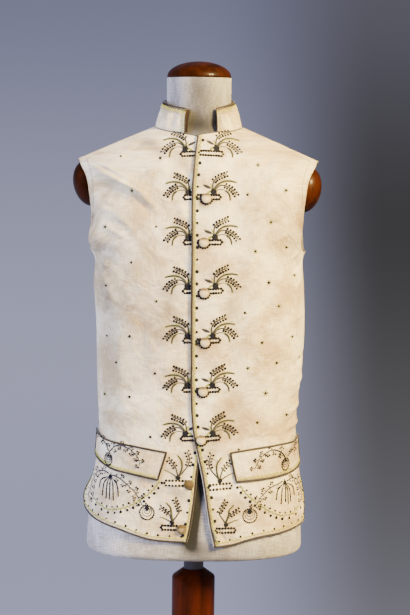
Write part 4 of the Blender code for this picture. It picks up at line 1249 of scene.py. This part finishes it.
def skirt_sprig(spot, ring_at, ring_tilt, lean):
    """The upright sprig of the skirts; lean bends its sprays away from the edge."""
    base_ring(spot, ring_at, 19, ring_tilt, 4.0, 1.45, 5.2)
    knot(spot, (0, 0), 2.7)
    spray(spot, [(-1, 2), (-9, 11), (-15.5, 20), (-18 + lean, 31), (-14 + lean, 42.5)], 5, 5.4, 3.5, 1.25)
    fern(spot, [(-1.5, 2), (-5.2 + lean, 16), (-4.6 + lean, 28), (2 + lean, 37.5)], 0.5, 3.0)
    spray(spot, [(0, 2), (3.6, 15), (9.6 + lean / 3, 23.5), (16 + lean / 2, 29.5)], 4, 5.2, 3.3, 1.2)
    sew(spot, "olive", [(2, 1.5), (9, 6), (15, 9.4), (22, 12)], 0.8)
    satin(spot, "green", [(11, 6.6), (16, 9.4), (22.6, 12.2)], 2.0)


skirt_sprig(Spot(LEFT, 41.5, 136, 0, 1.0, 0.0), (0.6, -9.4), 4, 0)
skirt_sprig(Spot(LEFT, 52.6, 64, -8, 0.88, 0.0), (0.6, -10.4), 8, 7)
skirt_sprig(Spot(RIGHT, 26.4, 140, 0, 0.98, 0.0), (3.2, -8.8), 0, -1)
skirt_sprig(Spot(RIGHT, 35.2, 67, -6, 0.86, 0.0), (3.0, -9.6), 6, 5)
print("points in the left front's needlework:", {kind: heap.count for kind, heap in HEAPS["left"].items()})

# %% [markdown]
# ## The skirts and the flaps
# Below each flap hangs a tassel of beaded strings from a knot. A branch of trefoils and dark leaves
# runs from it down to a round medallion of nested crescents, another one runs round the side, and a
# swag of leaves and spangles hangs from the flap's inner corner. On the flap a smaller branch
# carries an oval medallion. Here u is simply x towards the front's own side, and v is the height.

# %% Skirts and flaps
def medallion(spot, centre, wide, tall):
    """A ring of spangles round nested crescents of mauve floss."""
    count = int(math.pi * (wide + tall) / 2 / 3.1)
    turn = np.linspace(0, 2 * np.pi, count, endpoint=False)
    dots(spot, np.stack([np.cos(turn) * wide / 2, np.sin(turn) * tall / 2], axis=-1) + centre, 1.0)
    for share, rise in ((1.0, 0.0), (0.68, 0.09), (0.42, 0.15), (0.18, 0.2)):
        arc = np.radians(np.linspace(130, 410, 14))
        bow = np.stack([np.cos(arc) * wide, np.sin(arc) * tall], axis=-1) / 2 * share
        sew(spot, "mauve", bow + (0, tall * rise) + centre, 0.5, 1.0)
    knot(spot, (centre[0], centre[1] + tall * 0.3), wide * 0.11)


def branch(spot, knots, apart=7.0, reach_out=6.0, dark=0.5):
    """A mauve stem with trefoils and dark leaves to either side by turns."""
    sew(spot, "mauve", knots, 0.75)
    line, run, square = sides_of(curve(knots, apart), 0)
    for i in range(1, len(line)):
        way = 1 if i % 2 else -1
        trefoil(spot, line[i], line[i] + run[i] * 2.6 + square[i] * way * reach_out)
        if random.random() < dark:
            satin(spot, "mauve", [line[i] - run[i], line[i] + run[i] * 1.5 - square[i] * way * 5.6], 2.2)


def swag(spot, knots):
    """A hanging line of small yellow-green leaves with spangles below it."""
    line, run, square = sides_of(curve(knots, 3.6), 0)
    sew(spot, "green", knots, 0.65)
    for i, (at, along, out) in enumerate(zip(line, run, square)):
        way = 1 if i % 2 else -1
        sew(spot, "green", [at, at + along * 2.8 + out * way * 2.6], 0.6, 1.6)
    at, run, square = sides_of(curve(knots, 10.2), 0)
    dots(spot, at - square * 5.2, 1.7)
    dots(spot, at[1:-1] + square[1:-1] * 4.4 + run[1:-1] * 3, 1.25)


def tassel(spot, head, ends):
    """Beaded strings hanging from a long knot, bowed outward."""
    head = np.array(head, float)
    satin(spot, "olive", [head + (-0.8, 7), head, head + (0.6, -6)], 3.4)
    knot(spot, head, 1.9)
    for end in ends:
        middle = (head[0] + (end[0] - head[0]) * 0.78, head[1] + (end[1] - head[1]) * 0.36)
        sew(spot, "mauve", [head, middle, end], 0.6)
        beads = curve([head, middle, end], 2.4)
        dots(spot, beads[int(len(beads) * 0.3) :], 0.95)


Skirt = namedtuple("Skirt", "side head ends inner disc hang outer drop twig twig_out")
SKIRTS = (
    Skirt(
        RIGHT,
        (138.5, 134.0),
        [(158, 112), (152, 101), (145.5, 98), (139.5, 97.5), (133, 97), (124.5, 104)],
        [(136, 136), (128, 135), (117, 129.5), (106, 121), (96, 112), (84.5, 93)],
        (76.8, 81.4),
        [(57, 134), (69, 117), (92, 98.5), (114, 86.5), (140, 80), (158, 85.5), (169, 93)],
        [(142, 138), (151, 140.5), (162, 135), (170, 119), (174, 99), (176, 90)],
        (139.8, 161.6),
        [(139, 173), (133, 181), (127.5, 186), (119, 187.5), (107, 184), (98, 177.5), (91, 170), (88, 160)],
        [(140, 175), (144, 184.5), (149, 191), (155, 196)],
    ),
    Skirt(
        LEFT,
        (149.4, 126.5),
        [(135.5, 101), (144, 93), (151.5, 95), (156, 91), (160, 94), (166.5, 103)],
        [(146, 129), (136, 124.5), (125.5, 121), (117, 114), (108.5, 105), (100.5, 92)],
        (92.0, 77.5),
        [(75, 127.5), (86, 113), (106, 96), (125, 82), (146, 73), (163, 73), (175, 81.5)],
        [(153, 128), (163, 131), (171, 126), (176, 115), (179.5, 101), (180.5, 88)],
        (147.8, 157.0),
        [
            (147, 168), (140, 177), (131, 182), (122, 182), (114, 177.5), (106.5, 171), (102.5, 164),
            (98.5, 155),
        ],
        [(150.5, 170), (157, 177), (162, 182), (167, 186)],
    ),
)
FLAP_NEEDLE = FLAP_OUT + 0.0003
for skirt in SKIRTS:
    spot = Spot(skirt.side, 0.0, 0.0, 0.0, 1.0, 0.0)
    tassel(spot, skirt.head, skirt.ends)
    branch(spot, skirt.inner)
    branch(spot, skirt.outer, 5.4, 4.0, 0.9)
    medallion(spot, skirt.disc, 23.0, 23.0)
    swag(spot, skirt.hang)
    spot = spot._replace(lift=FLAP_NEEDLE)
    medallion(spot, skirt.drop, 12.0, 20.0)
    branch(spot, skirt.twig, 6.4, 5.0, 0.4)
    branch(spot, skirt.twig_out, 5.6, 3.6, 0.3)
    across, down = np.linspace(0, 1, 110), np.linspace(0, 1, 30)[1:]
    rim = np.concatenate([
        np.stack([across, across * 0], axis=-1),
        np.stack([down * 0 + 1, down], axis=-1),
        np.stack([across[-2::-1], across[1:] * 0 + 1], axis=-1),
        np.stack([down[1:] * 0, down[-2::-1]], axis=-1),
    ])
    heaps = HEAPS[skirt.side.word]
    place = seat(skirt.side, 1, *flap_lines(skirt.side, *rim.T), FLAP_OUT - FLAP_SINK)
    thread(heaps["cord"], *place, CORD * 1.2, 6, closed=True)
    across = np.linspace(0.02, 0.98, 420)
    for down in (0.93, 0.885 - 0.022 * np.sin(np.linspace(0, 44 * np.pi, 420))):
        place = seat(skirt.side, 1, *flap_lines(skirt.side, across, down), FLAP_NEEDLE)
        thread(heaps["lime"], *place, 0.0008, 4, flat=0.5)

# %% [markdown]
# ## The powdering
# Between the borders the silk is powdered with tiny sprigs: a dark eye with a few yellow-green
# petals. They stand in loose rows, each row half a step across from the last, and some have lost
# most of their floss.

# %% Powdered sprigs
SEMIS = table(
    "Semi", "x height size",
    (-125, 660, 0.8), (-61, 659, 1.1), (-105.5, 606, 1.2), (-149, 546.5, 1.2), (-66, 549, 0.8),
    (-106, 490, 0.8), (-64.5, 428.5, 1.1), (-108, 369, 1.0), (-147.5, 366, 0.8), (-129.5, 324, 1.1),
    (-150, 268, 1.1), (-107.5, 269, 1.0), (-72.5, 205, 1.0), (-164.5, 211, 1.0), (-66, 310, 0.7),
    (-146, 450, 0.7), (97, 649.5, 1.3), (142.5, 609, 1.3), (80.5, 602, 1.1), (119.5, 558, 1.2),
    (94, 511, 1.2), (117.5, 459.5, 1.3), (145.5, 516.5, 1.0), (160.5, 469.5, 1.1), (134.5, 420.5, 1.2),
    (79, 411, 1.0), (108, 361.5, 1.2), (158, 368.5, 1.2), (132.5, 327, 1.1), (173, 331.5, 1.0),
    (85, 320, 1.3), (115, 277.5, 1.6), (102, 229.5, 1.1), (151, 238, 1.2), (72, 186.5, 0.9),
)
for semi in SEMIS:
    side = LEFT if semi.x > 0 else RIGHT
    spot = Spot(side, abs(semi.x), semi.height, random.uniform(-40, 40), semi.size, 0.0)
    dots(spot, [(0, 0)], 1.4)
    for turn in (20, 95, 165, 250, 310)[: 5 if semi.size > 0.85 else 3]:
        tip = (3.5 * math.cos(math.radians(turn)), 3.5 * math.sin(math.radians(turn)))
        satin(spot, "green" if turn > 90 else "olive", [(tip[0] * 0.3, tip[1] * 0.3), tip], 1.7)
print("powdered sprigs:", len(SEMIS))

# %% [markdown]
# ## The collar's edge
# The collar's upper edge and its ends carry the same brown cord. Inside it runs a row of scallops in
# yellow-green and ivory. The scallops are one thread that swings up and down.

# %% Collar trimming
collar_heap = {kind: Heap() for kind in ("cord", "green", "lime", "stitch")}
top_line = collar_place(feet, np.ones(len(feet))) + (0, 0, 0.0003)
thread(collar_heap["cord"], top_line, outward(feet), CORD * 0.8, 6)
for end in (feet[:1], feet[-1:]):
    column_foot = np.repeat(end, 16, axis=0)
    upright = collar_place(column_foot, np.linspace(0, 1, 16))
    thread(collar_heap["cord"], upright, outward(column_foot), 0.0009)
COLLAR_SCALLOPS = 62
dense = at_lengths(feet, np.arange(len(feet)), np.linspace(0, len(feet) - 1, 900))
swing = np.sin(np.linspace(0, COLLAR_SCALLOPS * 2 * np.pi, 900))
for kind, low, high in (("lime", 0.85, 0.05), ("stitch", 0.78, 0.05), ("cord", 0.955, -0.045)):
    thread(collar_heap[kind], collar_place(dense, low + high * swing, 0.0004), outward(dense), 0.0008, 4)
for first, inner_one in ((feet[0], feet[6]), (feet[-1], feet[-7])):
    rise = np.linspace(0.04, 0.92, 90)
    base = first + (inner_one - first) * (0.75 + 0.4 * np.sin(rise * 9 * 2 * np.pi))[:, None]
    thread(collar_heap["green"], collar_place(base, rise, 0.0004), outward(base), 0.0005, 4)
print("points in the collar's needlework:", {kind: heap.count for kind, heap in collar_heap.items()})

# %% [markdown]
# ## Needlework as meshes
# Each kind of thread becomes one mesh for the right front, one for the left front and one for the
# collar. Their triangles are counted, because needlework is most of the scene's weight.

# %% The needlework becomes meshes
total = 0
for word, heaps in [*HEAPS.items(), ("collar", collar_heap)]:
    for kind, heap in heaps.items():
        if heap.count:
            name, points = f"needlework_{word}_{kind}", np.vstack(heap.points)
            piece(name, points, heap.faces, [THREADS[kind]])
            count = sum(len(face) - 2 for face in heap.faces)
            total += count
            print(name, "triangles:", count)
print("needlework in all:", total)

# %% [markdown]
# ## Covered buttons
# A covered button is a turned wooden mould with a round of silk gathered over it. The silk is smooth
# on top and pleats a little at the rim. Each stands on a short shank of thread, so it has a shadow
# under it.

# %% Buttons
CLOSED_BUTTONS = 6
BUTTON_RADIUS = 0.0083
BUTTON_HEIGHT = 0.0062
BUTTON_EDGE = 0.0012
BUTTON_LIFT = 0.0008


def turned(profile, sides, deep=1.0, pleats=0.0):
    """The points and faces of a turned piece from (radius, height) pairs, closed at both ends."""
    radius, height = np.array(profile, float).T
    turn = np.linspace(0, 2 * np.pi, sides, endpoint=False)
    wave = 1 + pleats * np.sin(turn * 14)[None, :] * (radius > radius.max() * 0.9)[:, None]
    x = radius[:, None] * np.cos(turn) * wave
    y = radius[:, None] * np.sin(turn) * wave * deep
    z = np.broadcast_to(height[:, None], x.shape)
    points = np.stack([x, y, z], axis=-1).reshape(-1, 3)
    return points, tube_faces(len(profile), sides)


DOME_TURN = 86.0


def dome(radius, rise, steps, edge):
    """A dome's profile: a rounded edge, then an elliptical arc that stops short of the axis."""
    profile = [(radius - edge, 0.0), (radius - edge * 0.3, edge * 0.3), (radius, edge)]
    for turn in np.radians(np.linspace(DOME_TURN / steps, DOME_TURN, steps)):
        profile.append((radius * math.cos(turn), edge + (rise - edge) * math.sin(turn)))
    return profile


def set_in(points, matrix):
    """Points moved by a matrix."""
    return points @ np.array(matrix.to_3x3()).T + np.array(matrix.translation)


def button_soil_and_shade(uv, number):
    """Darkening of a button's cover: a painted shadow at its rim, darker towards its top, a darker ring and
    middle; painted shade darkens the lowest two all over.
    """
    share = np.hypot(*uv.T) / BUTTON_RADIUS
    darkened = 2.0 * smooth_step(0.84, 0.97, share) + 0.3 * bump(share, 0.62, 0.12) + 0.2 * bump(share, 0.0, 0.12)
    return darkened + 1.1 * smooth_step(0.1, 0.9, uv[:, 1] / BUTTON_RADIUS) + {7: 1.2, 8: 0.8}.get(number, 0.0)


shanks = Heap()
for number, at in enumerate(BUTTONS, 1):
    side = LEFT if number <= CLOSED_BUTTONS else RIGHT
    angle = angle_at(side, at.x * side.sign, at.height)
    where, normal = seat(side, 1, np.array([angle]), np.array([at.height]), 0.0)
    frame_of = Vector(normal[0]).to_track_quat("Z", "Y").to_matrix().to_4x4()
    stand = Matrix.Translation(Vector(where[0] + normal[0] * BUTTON_LIFT)) @ frame_of
    points, faces = turned(dome(BUTTON_RADIUS, BUTTON_HEIGHT - 0.0006, 12, BUTTON_EDGE), 48, pleats=0.012)
    uv, node = points[:, :2], f"button_{number}"
    cover, soil = set_in(points, stand), button_soil_and_shade(uv, number)
    piece(f"{node}_cloth", cover, faces, [BUTTON_SILK], [node], uv, soil)
    points, faces = turned([(0.0026, -0.0002), (0.0022, 0.0014)], 12)
    shanks.put(set_in(points, Matrix.Translation(Vector(where[0])) @ frame_of), faces)
piece("button_shanks", np.vstack(shanks.points), shanks.faces, [THREADS["cord"]])
print("buttons:", len(BUTTONS), "of them closed:", CLOSED_BUTTONS)

# %% [markdown]
# ## The form
# The form is a padded torso under stretched linen, with flat arm ends and a neck that rises out of
# the shoulders. It is made as level rings from the same measures, a little inside the coat. The
# arm ends are cut with a Boolean, and the result is kept as a plain mesh.

# %% Form
NECK_RADIUS = 0.0535
NECK_DEPTH = 0.0550
NECK_CENTRE = -0.008
NECK_HEIGHT = 0.7905
NECK_CAP_RISE = 0.0270
NECK_BLEND = 12.0
FORM_EDGE = 0.010
FORM_SIDES = 256
ArmEnd = namedtuple("ArmEnd", "word sign x height")
ARM_ENDS = (ArmEnd("right", -1, 0.1795, 0.6155), ArmEnd("left", 1, 0.1772, 0.6085))
ARM_LEAN = 12.8
ARM_CAP_TALL = 0.0387
ARM_CAP_DEEP = 0.0335
ARM_CAP_RISE = 0.0281
ARM_CUT_BELOW = 0.0440
ARM_CUT_SIZE = 0.2
SEAM_GAP = 0.0003


def form_ring(height, shrink=0.0):
    """One level ring of the form."""
    turn = np.linspace(0, 2 * np.pi, FORM_SIDES, endpoint=False)
    across, front = np.cos(turn), np.sin(turn) >= 0
    torso = float(half_width(FORM, np.array(height))) if height < RIDGE_TOP - FORM.drop else 0.0
    neck = NECK_RADIUS if height > SHOULDER_START else 0.0
    width = (torso**NECK_BLEND + neck**NECK_BLEND) ** (1 / NECK_BLEND) - shrink
    body = reach(FORM, torso * across, np.full(FORM_SIDES, height), front) if torso else np.zeros(FORM_SIDES)
    depth = NECK_DEPTH + np.where(front, -NECK_CENTRE, NECK_CENTRE)
    column_out = depth * np.abs(np.sin(turn)) if neck else 0.0
    out = (body**NECK_BLEND + column_out**NECK_BLEND) ** (1 / NECK_BLEND)
    out = np.maximum(out - shrink * np.abs(np.sin(turn)), 0.0)
    level = np.full(FORM_SIDES, height + FORM_BASE)
    return np.stack([width * across, np.where(front, -out, out), level], axis=-1)


def arm_frame(end):
    """Stands a piece on an arm end: its own Z points out of the arm end, leaning down."""
    place = Matrix.Translation((end.sign * end.x, 0.0, FORM_BASE + end.height))
    return place @ Matrix.Rotation(end.sign * math.radians(90.0 + ARM_LEAN), 4, "Y")


# Painted shade on the form's linen: in the gap between the fronts' lower edges, below the hem, and on the
# neck between and above the collar's ends.
SHADES = [DarkPatch(*row) for row in (
    (-3, 140, 17, 36, 2.2), (12, 132, 9, 28, 0.7), (6, 84, 12, 30, 0.35), (-3, 84, 13, 30, 1.7),
    (-8, 50, 15, 22, 1.4), (8, 22, 42, 20, 0.85), (14, 2, 70, 14, 0.32), (90, 6, 40, 18, 0.45),
    (4, 712, 70, 34, 1.05), (0, 772, 34, 30, 0.7),
)]
rings = []
for turn in np.radians(np.linspace(0, 80, 7)):
    rings.append(form_ring(FORM_EDGE * (1 - math.cos(turn)), FORM_EDGE * (1 - math.sin(turn))))
for low, high, count in ((FORM_EDGE, SHOULDER_START, 60), (0.575, 0.7335, 60), (0.737, NECK_HEIGHT, 8)):
    rings += [form_ring(height) for height in np.linspace(low, high, count)]
stack = np.array(rings)
wrap = np.arange(FORM_SIDES) / FORM_SIDES
u = np.abs(wrap * 2 - 1) * 0.5
uv = np.stack([np.broadcast_to(u, stack.shape[:2]), stack[..., 2]], axis=-1)
points, uv, faces = stack.reshape(-1, 3), uv.reshape(-1, 2), tube_faces(len(rings), FORM_SIDES)
clean = np.zeros(len(points))
torso = piece("form_linen_torso", points, faces, [FORM_LINEN], ["form_torso"], uv, clean)
cutters = []
for end in ARM_ENDS:
    block = bpy.data.meshes.new("arm_cut")
    work = bmesh.new()
    bmesh.ops.create_cube(work, size=ARM_CUT_SIZE)
    work.to_mesh(block)
    work.free()
    cutter = bpy.data.objects.new(f"arm_cut_{end.word}", block)
    up = end.sign * (ARM_CUT_BELOW - ARM_CUT_SIZE / 2)
    cutter.matrix_world = arm_frame(end) @ Matrix.Translation((up, 0.0, ARM_CUT_SIZE / 2))
    bpy.context.scene.collection.objects.link(cutter)
    cut = torso.modifiers.new(cutter.name, "BOOLEAN")
    cut.operation, cut.object = "DIFFERENCE", cutter
    cutters.append(cutter)
bpy.context.view_layer.update()
trimmed = bpy.data.meshes.new_from_object(torso.evaluated_get(bpy.context.evaluated_depsgraph_get()))
torso.modifiers.clear()
torso.data = trimmed
trimmed.set_sharp_from_angle(angle=math.radians(40))
places = np.array([point.co[:] for point in trimmed.vertices])
# The form's linen carries only painted shade.
trimmed.attributes["soil"].data.foreach_set("value", soil_and_shade_at(places, SHADES).astype(np.float32))
for cutter in cutters:
    bpy.data.objects.remove(cutter, do_unlink=True)
print("form: points", len(trimmed.vertices))

# %% [markdown]
# ## Caps and stand
# The caps and the post are turned on a lathe, so a profile and a number of sides describe them. The
# neck cap is a shallow dome and the arm caps are deeper, a little narrower from front to back.

# %% Caps, tube, post and foot
def turned_piece(name, profile, sides, finish, node, deep=1.0, matrix=None):
    """A turned piece that stands for its solid."""
    points, faces = turned(profile, sides, deep)
    made = piece(name, set_in(points, matrix or Matrix()), faces, [finish], [node])
    made.data.set_sharp_from_angle(angle=math.radians(35))
    return made


crown, deep = dome(ARM_CAP_TALL, ARM_CAP_RISE, 28, 0.0016), ARM_CAP_DEEP / ARM_CAP_TALL
# The arm cap at the wearer's right gets the mahogany with painted shade.
for end, finish in zip(ARM_ENDS, (SHADED_MAHOGANY, MAHOGANY)):
    seat_of = arm_frame(end) @ Matrix.Translation((0, 0, SEAM_GAP))
    node = f"arm_cap_{end.word}"
    turned_piece(f"{node}_wood", crown, 96, finish, node, deep, seat_of)
crown, deep = dome(NECK_RADIUS - 0.0005, NECK_CAP_RISE, 28, 0.0015), NECK_DEPTH / NECK_RADIUS
neck_seat = Matrix.Translation((0, NECK_CENTRE, FORM_BASE + NECK_HEIGHT + SEAM_GAP))
# The neck cap gets the mahogany with painted shade.
turned_piece("neck_cap_wood", crown, 96, SHADED_MAHOGANY, "neck_cap", deep, neck_seat)

TUBE_RADIUS = 0.0169
POST_RADIUS = 0.0365
POST_TOP = 0.2220
POST_CONE = 0.0130
FOOT_RADIUS = 0.1600
FOOT_HEIGHT = 0.0300
tube = [(TUBE_RADIUS, height) for height in (POST_TOP + SEAM_GAP, FORM_BASE - SEAM_GAP)]
turned_piece("stand_tube_chrome", tube, 96, CHROME, "stand_tube")
post = [(POST_RADIUS, FOOT_HEIGHT + SEAM_GAP)]
cone = POST_TOP - POST_CONE
post += [(POST_RADIUS, height) for height in np.linspace(0.05, cone - 0.0030, 6)]
post += [(POST_RADIUS - 0.0004, cone - 0.0012), (POST_RADIUS - 0.0016, cone + 0.0008)]
post += [(TUBE_RADIUS + 0.0022, POST_TOP - 0.0004), (TUBE_RADIUS + 0.0014, POST_TOP)]
# The post gets the mahogany with painted shade.
turned_piece("stand_post_wood", post, 96, POST_MAHOGANY_SHADED, "stand_post")
rim = (
    (0.003, 0.0), (0.0009, 0.0009), (0.0, 0.003), (0.0, 0.012), (0.0016, 0.0148), (0.0060, 0.0172),
    (0.014, 0.0190),
)
foot = [(FOOT_RADIUS - inset, height) for inset, height in rim]
foot += [(0.110, 0.0213), (0.075, 0.0255), (0.060, 0.0280), (0.0500, 0.0296), (0.0465, 0.0300)]
turned_piece("stand_foot_wood", foot, 128, FOOT_MAHOGANY, "stand_foot")
print("points in the profiles:", {"tube": len(tube), "post": len(post), "foot": len(foot)})

# %% [markdown]
# ## Studio
# A museum photographs a costume before a smooth coloured background. Here a bowl stands round the
# whole stage: a pale floor that turns up into a grey-lavender wall. The wall and the far floor glow
# by themselves, so their tone doesn't depend on the lamps; that glow is painted light, lighter at the
# wearer's right, where the light falls on it, painted shade at the left, and darker behind the camera.
# A large cool lamp stands at the wearer's right and a warmer one at the left.

# %% Stage
BOWL_RADIUS, BOWL_BEND, BOWL_HEIGHT = 7.0, 2.0, 9.0
FAN_FROM = 2.85
FAN_HEIGHT = 0.958
# The wall's glow is painted light: lit tones at the wearer's right, painted shade at the wearer's left, each
# changing with height.
LIT_WALL_GLOW = (
    (0.0, "a9abc8"), (0.16, "a1a3c2"), (0.3, "a1a4c0"), (0.45, "a8a8c4"), (0.6, "a2a5be"), (0.8, "8e90ab"),
    (1.0, "72748e"),
)
SHADED_WALL_GLOW = (
    (0.0, "86868f"), (0.16, "6c6b74"), (0.3, "605f64"), (0.45, "545355"), (0.6, "444346"), (0.75, "3a3838"),
    (1.0, "605f6c"),
)
flat = BOWL_RADIUS - BOWL_BEND
rows = [(0.02, 0.0)] + [(radius, 0.0) for radius in np.linspace(0.5, flat, 10)]
for turn in np.radians(np.linspace(8, 90, 12)):
    rows.append((flat + BOWL_BEND * math.sin(turn), BOWL_BEND - BOWL_BEND * math.cos(turn)))
rows += [(BOWL_RADIUS, height) for height in np.linspace(2.6, BOWL_HEIGHT, 8)]
points, faces = turned(rows, 96)
mesh = bpy.data.meshes.new("studio_bowl")
mesh.from_pydata(points.tolist(), [], faces[:-2])
mesh.shade_smooth()
bowl = bpy.data.objects.new("studio_bowl", mesh)
bpy.context.scene.collection.objects.link(bowl)

paper, tree, shader = new_finish("glowing_backdrop_painted_light", {"Roughness": 0.9, "Base Color": linear("a4a4ac")})
where = add(tree, "NewGeometry")
split = add(tree, "SeparateXYZ", None, {0: where.outputs["Position"]})
back = add(tree, "Math", {"operation": "ADD", 1: FAN_FROM}, {0: split.outputs["Y"]})
back = add(tree, "Math", {"operation": "MAXIMUM", 1: 1.5}, {0: back})
fan = add(tree, "Math", {"operation": "DIVIDE"}, {0: split.outputs["X"], 1: back})
level = add(tree, "Math", {"operation": "SUBTRACT", 1: FAN_HEIGHT}, {0: split.outputs["Z"]})
rise = add(tree, "Math", {"operation": "DIVIDE"}, {0: level, 1: back})
height = add(tree, "MapRange", {"From Min": -0.34, "From Max": 0.08}, {"Value": rise})
bent = add(tree, "Math", {"operation": "MULTIPLY_ADD", 1: 0.022}, {0: height, 2: fan})
soft = {"interpolation_type": "SMOOTHSTEP"}
across = add(tree, "MapRange", {**soft, "From Min": 0.010, "From Max": 0.122}, {"Value": bent})
tones = []
for colours in (LIT_WALL_GLOW, SHADED_WALL_GLOW):
    ramp = add(tree, "ValToRGB", None, {0: height})
    ramp.color_ramp.interpolation = "B_SPLINE"
    while len(ramp.color_ramp.elements) < len(colours):
        ramp.color_ramp.elements.new(0.5)
    for stop, (place, code) in zip(ramp.color_ramp.elements, colours):
        stop.position, stop.color = place, linear(code)
    tones.append(ramp)
tone = add(tree, "Mix", {"data_type": "RGBA"}, {0: across, 6: tones[0], 7: tones[1]})
# Painted shade: the glow fades to dark grey behind the camera.
front = add(tree, "MapRange", {**soft, "From Min": -0.4, "From Max": -2.6}, {"Value": split.outputs["Y"]})
tone = add(tree, "Mix", {"data_type": "RGBA", 7: linear("3b3b42")}, {0: front, 6: tone.outputs[2]})
glow = add(tree, "Emission", None, {"Color": tone.outputs[2]})
far = add(tree, "VectorMath", {"operation": "LENGTH"}, {0: where.outputs["Position"]})
distance = far.outputs["Value"]
# Near the stand the floor is plain paper; farther out it glows with the painted light.
up_wall = add(tree, "MapRange", {**soft, "From Min": 0.22, "From Max": 0.52}, {"Value": distance})
both = add(tree, "MixShader", None, {0: up_wall, 1: shader, 2: glow})
join(tree, tree.nodes["Material Output"], {"Surface": both})
mesh.materials.append(paper)
print("backdrop: points", len(mesh.vertices), "tones", len(LIT_WALL_GLOW) + len(SHADED_WALL_GLOW))

# %% [markdown]
# ## Lamps and camera
# Each lamp is a rectangle of light that faces the waistcoat's middle. The camera has a long lens, as
# a museum's has, and looks down a little.

# %% Lamps and camera
Lamp = namedtuple("Lamp", "name place size power colour")
TARGET = Vector((0.0, 0.0, 0.62))
for lamp in (
    Lamp("cool_window", (-2.6, -1.6, 1.5), (1.0, 1.6), 228.0, "d9dfff"),
    Lamp("warm_softbox", (2.3, -2.1, 2.6), (1.0, 1.0), 730.0, "ffdd90"),
    Lamp("front_fill", (0.3, -3.6, 1.9), (1.6, 1.6), 45.0, "fff0e0"),
    Lamp("back_fill", (0.6, 2.8, 2.4), (1.8, 1.8), 40.0, "f1f1ff"),
):
    data = bpy.data.lights.new(lamp.name, "AREA")
    data.shape, data.energy, data.color = "RECTANGLE", lamp.power, linear(lamp.colour)[:3]
    data.size, data.size_y = lamp.size
    thing = bpy.data.objects.new(lamp.name, data)
    thing.location = lamp.place
    thing.rotation_euler = (TARGET - Vector(lamp.place)).to_track_quat("-Z", "Y").to_euler()
    thing.visible_glossy = "softbox" in lamp.name
    bpy.context.scene.collection.objects.link(thing)

world = bpy.data.worlds.new("studio_air")
world.use_nodes = True
world.node_tree.nodes["Background"].inputs["Color"].default_value = linear("a7a8b4")
world.node_tree.nodes["Background"].inputs["Strength"].default_value = 0.25
bpy.context.scene.world = world

LENS = 99.75
CAMERA_PLACE = (0.0142, -2.85, FORM_BASE + 0.698)
CAMERA_DOWN, CAMERA_ROLL = 5.8, 0.7
lens = bpy.data.cameras.new("camera")
lens.sensor_width = 36.0
lens.lens = LENS
camera = bpy.data.objects.new("camera", lens)
camera.matrix_world = (
    Matrix.Translation(CAMERA_PLACE)
    @ Euler((math.radians(90 - CAMERA_DOWN), 0, 0)).to_matrix().to_4x4()
    @ Matrix.Rotation(math.radians(CAMERA_ROLL), 4, "Z")
)
bpy.context.scene.collection.objects.link(camera)
bpy.context.scene.camera = camera
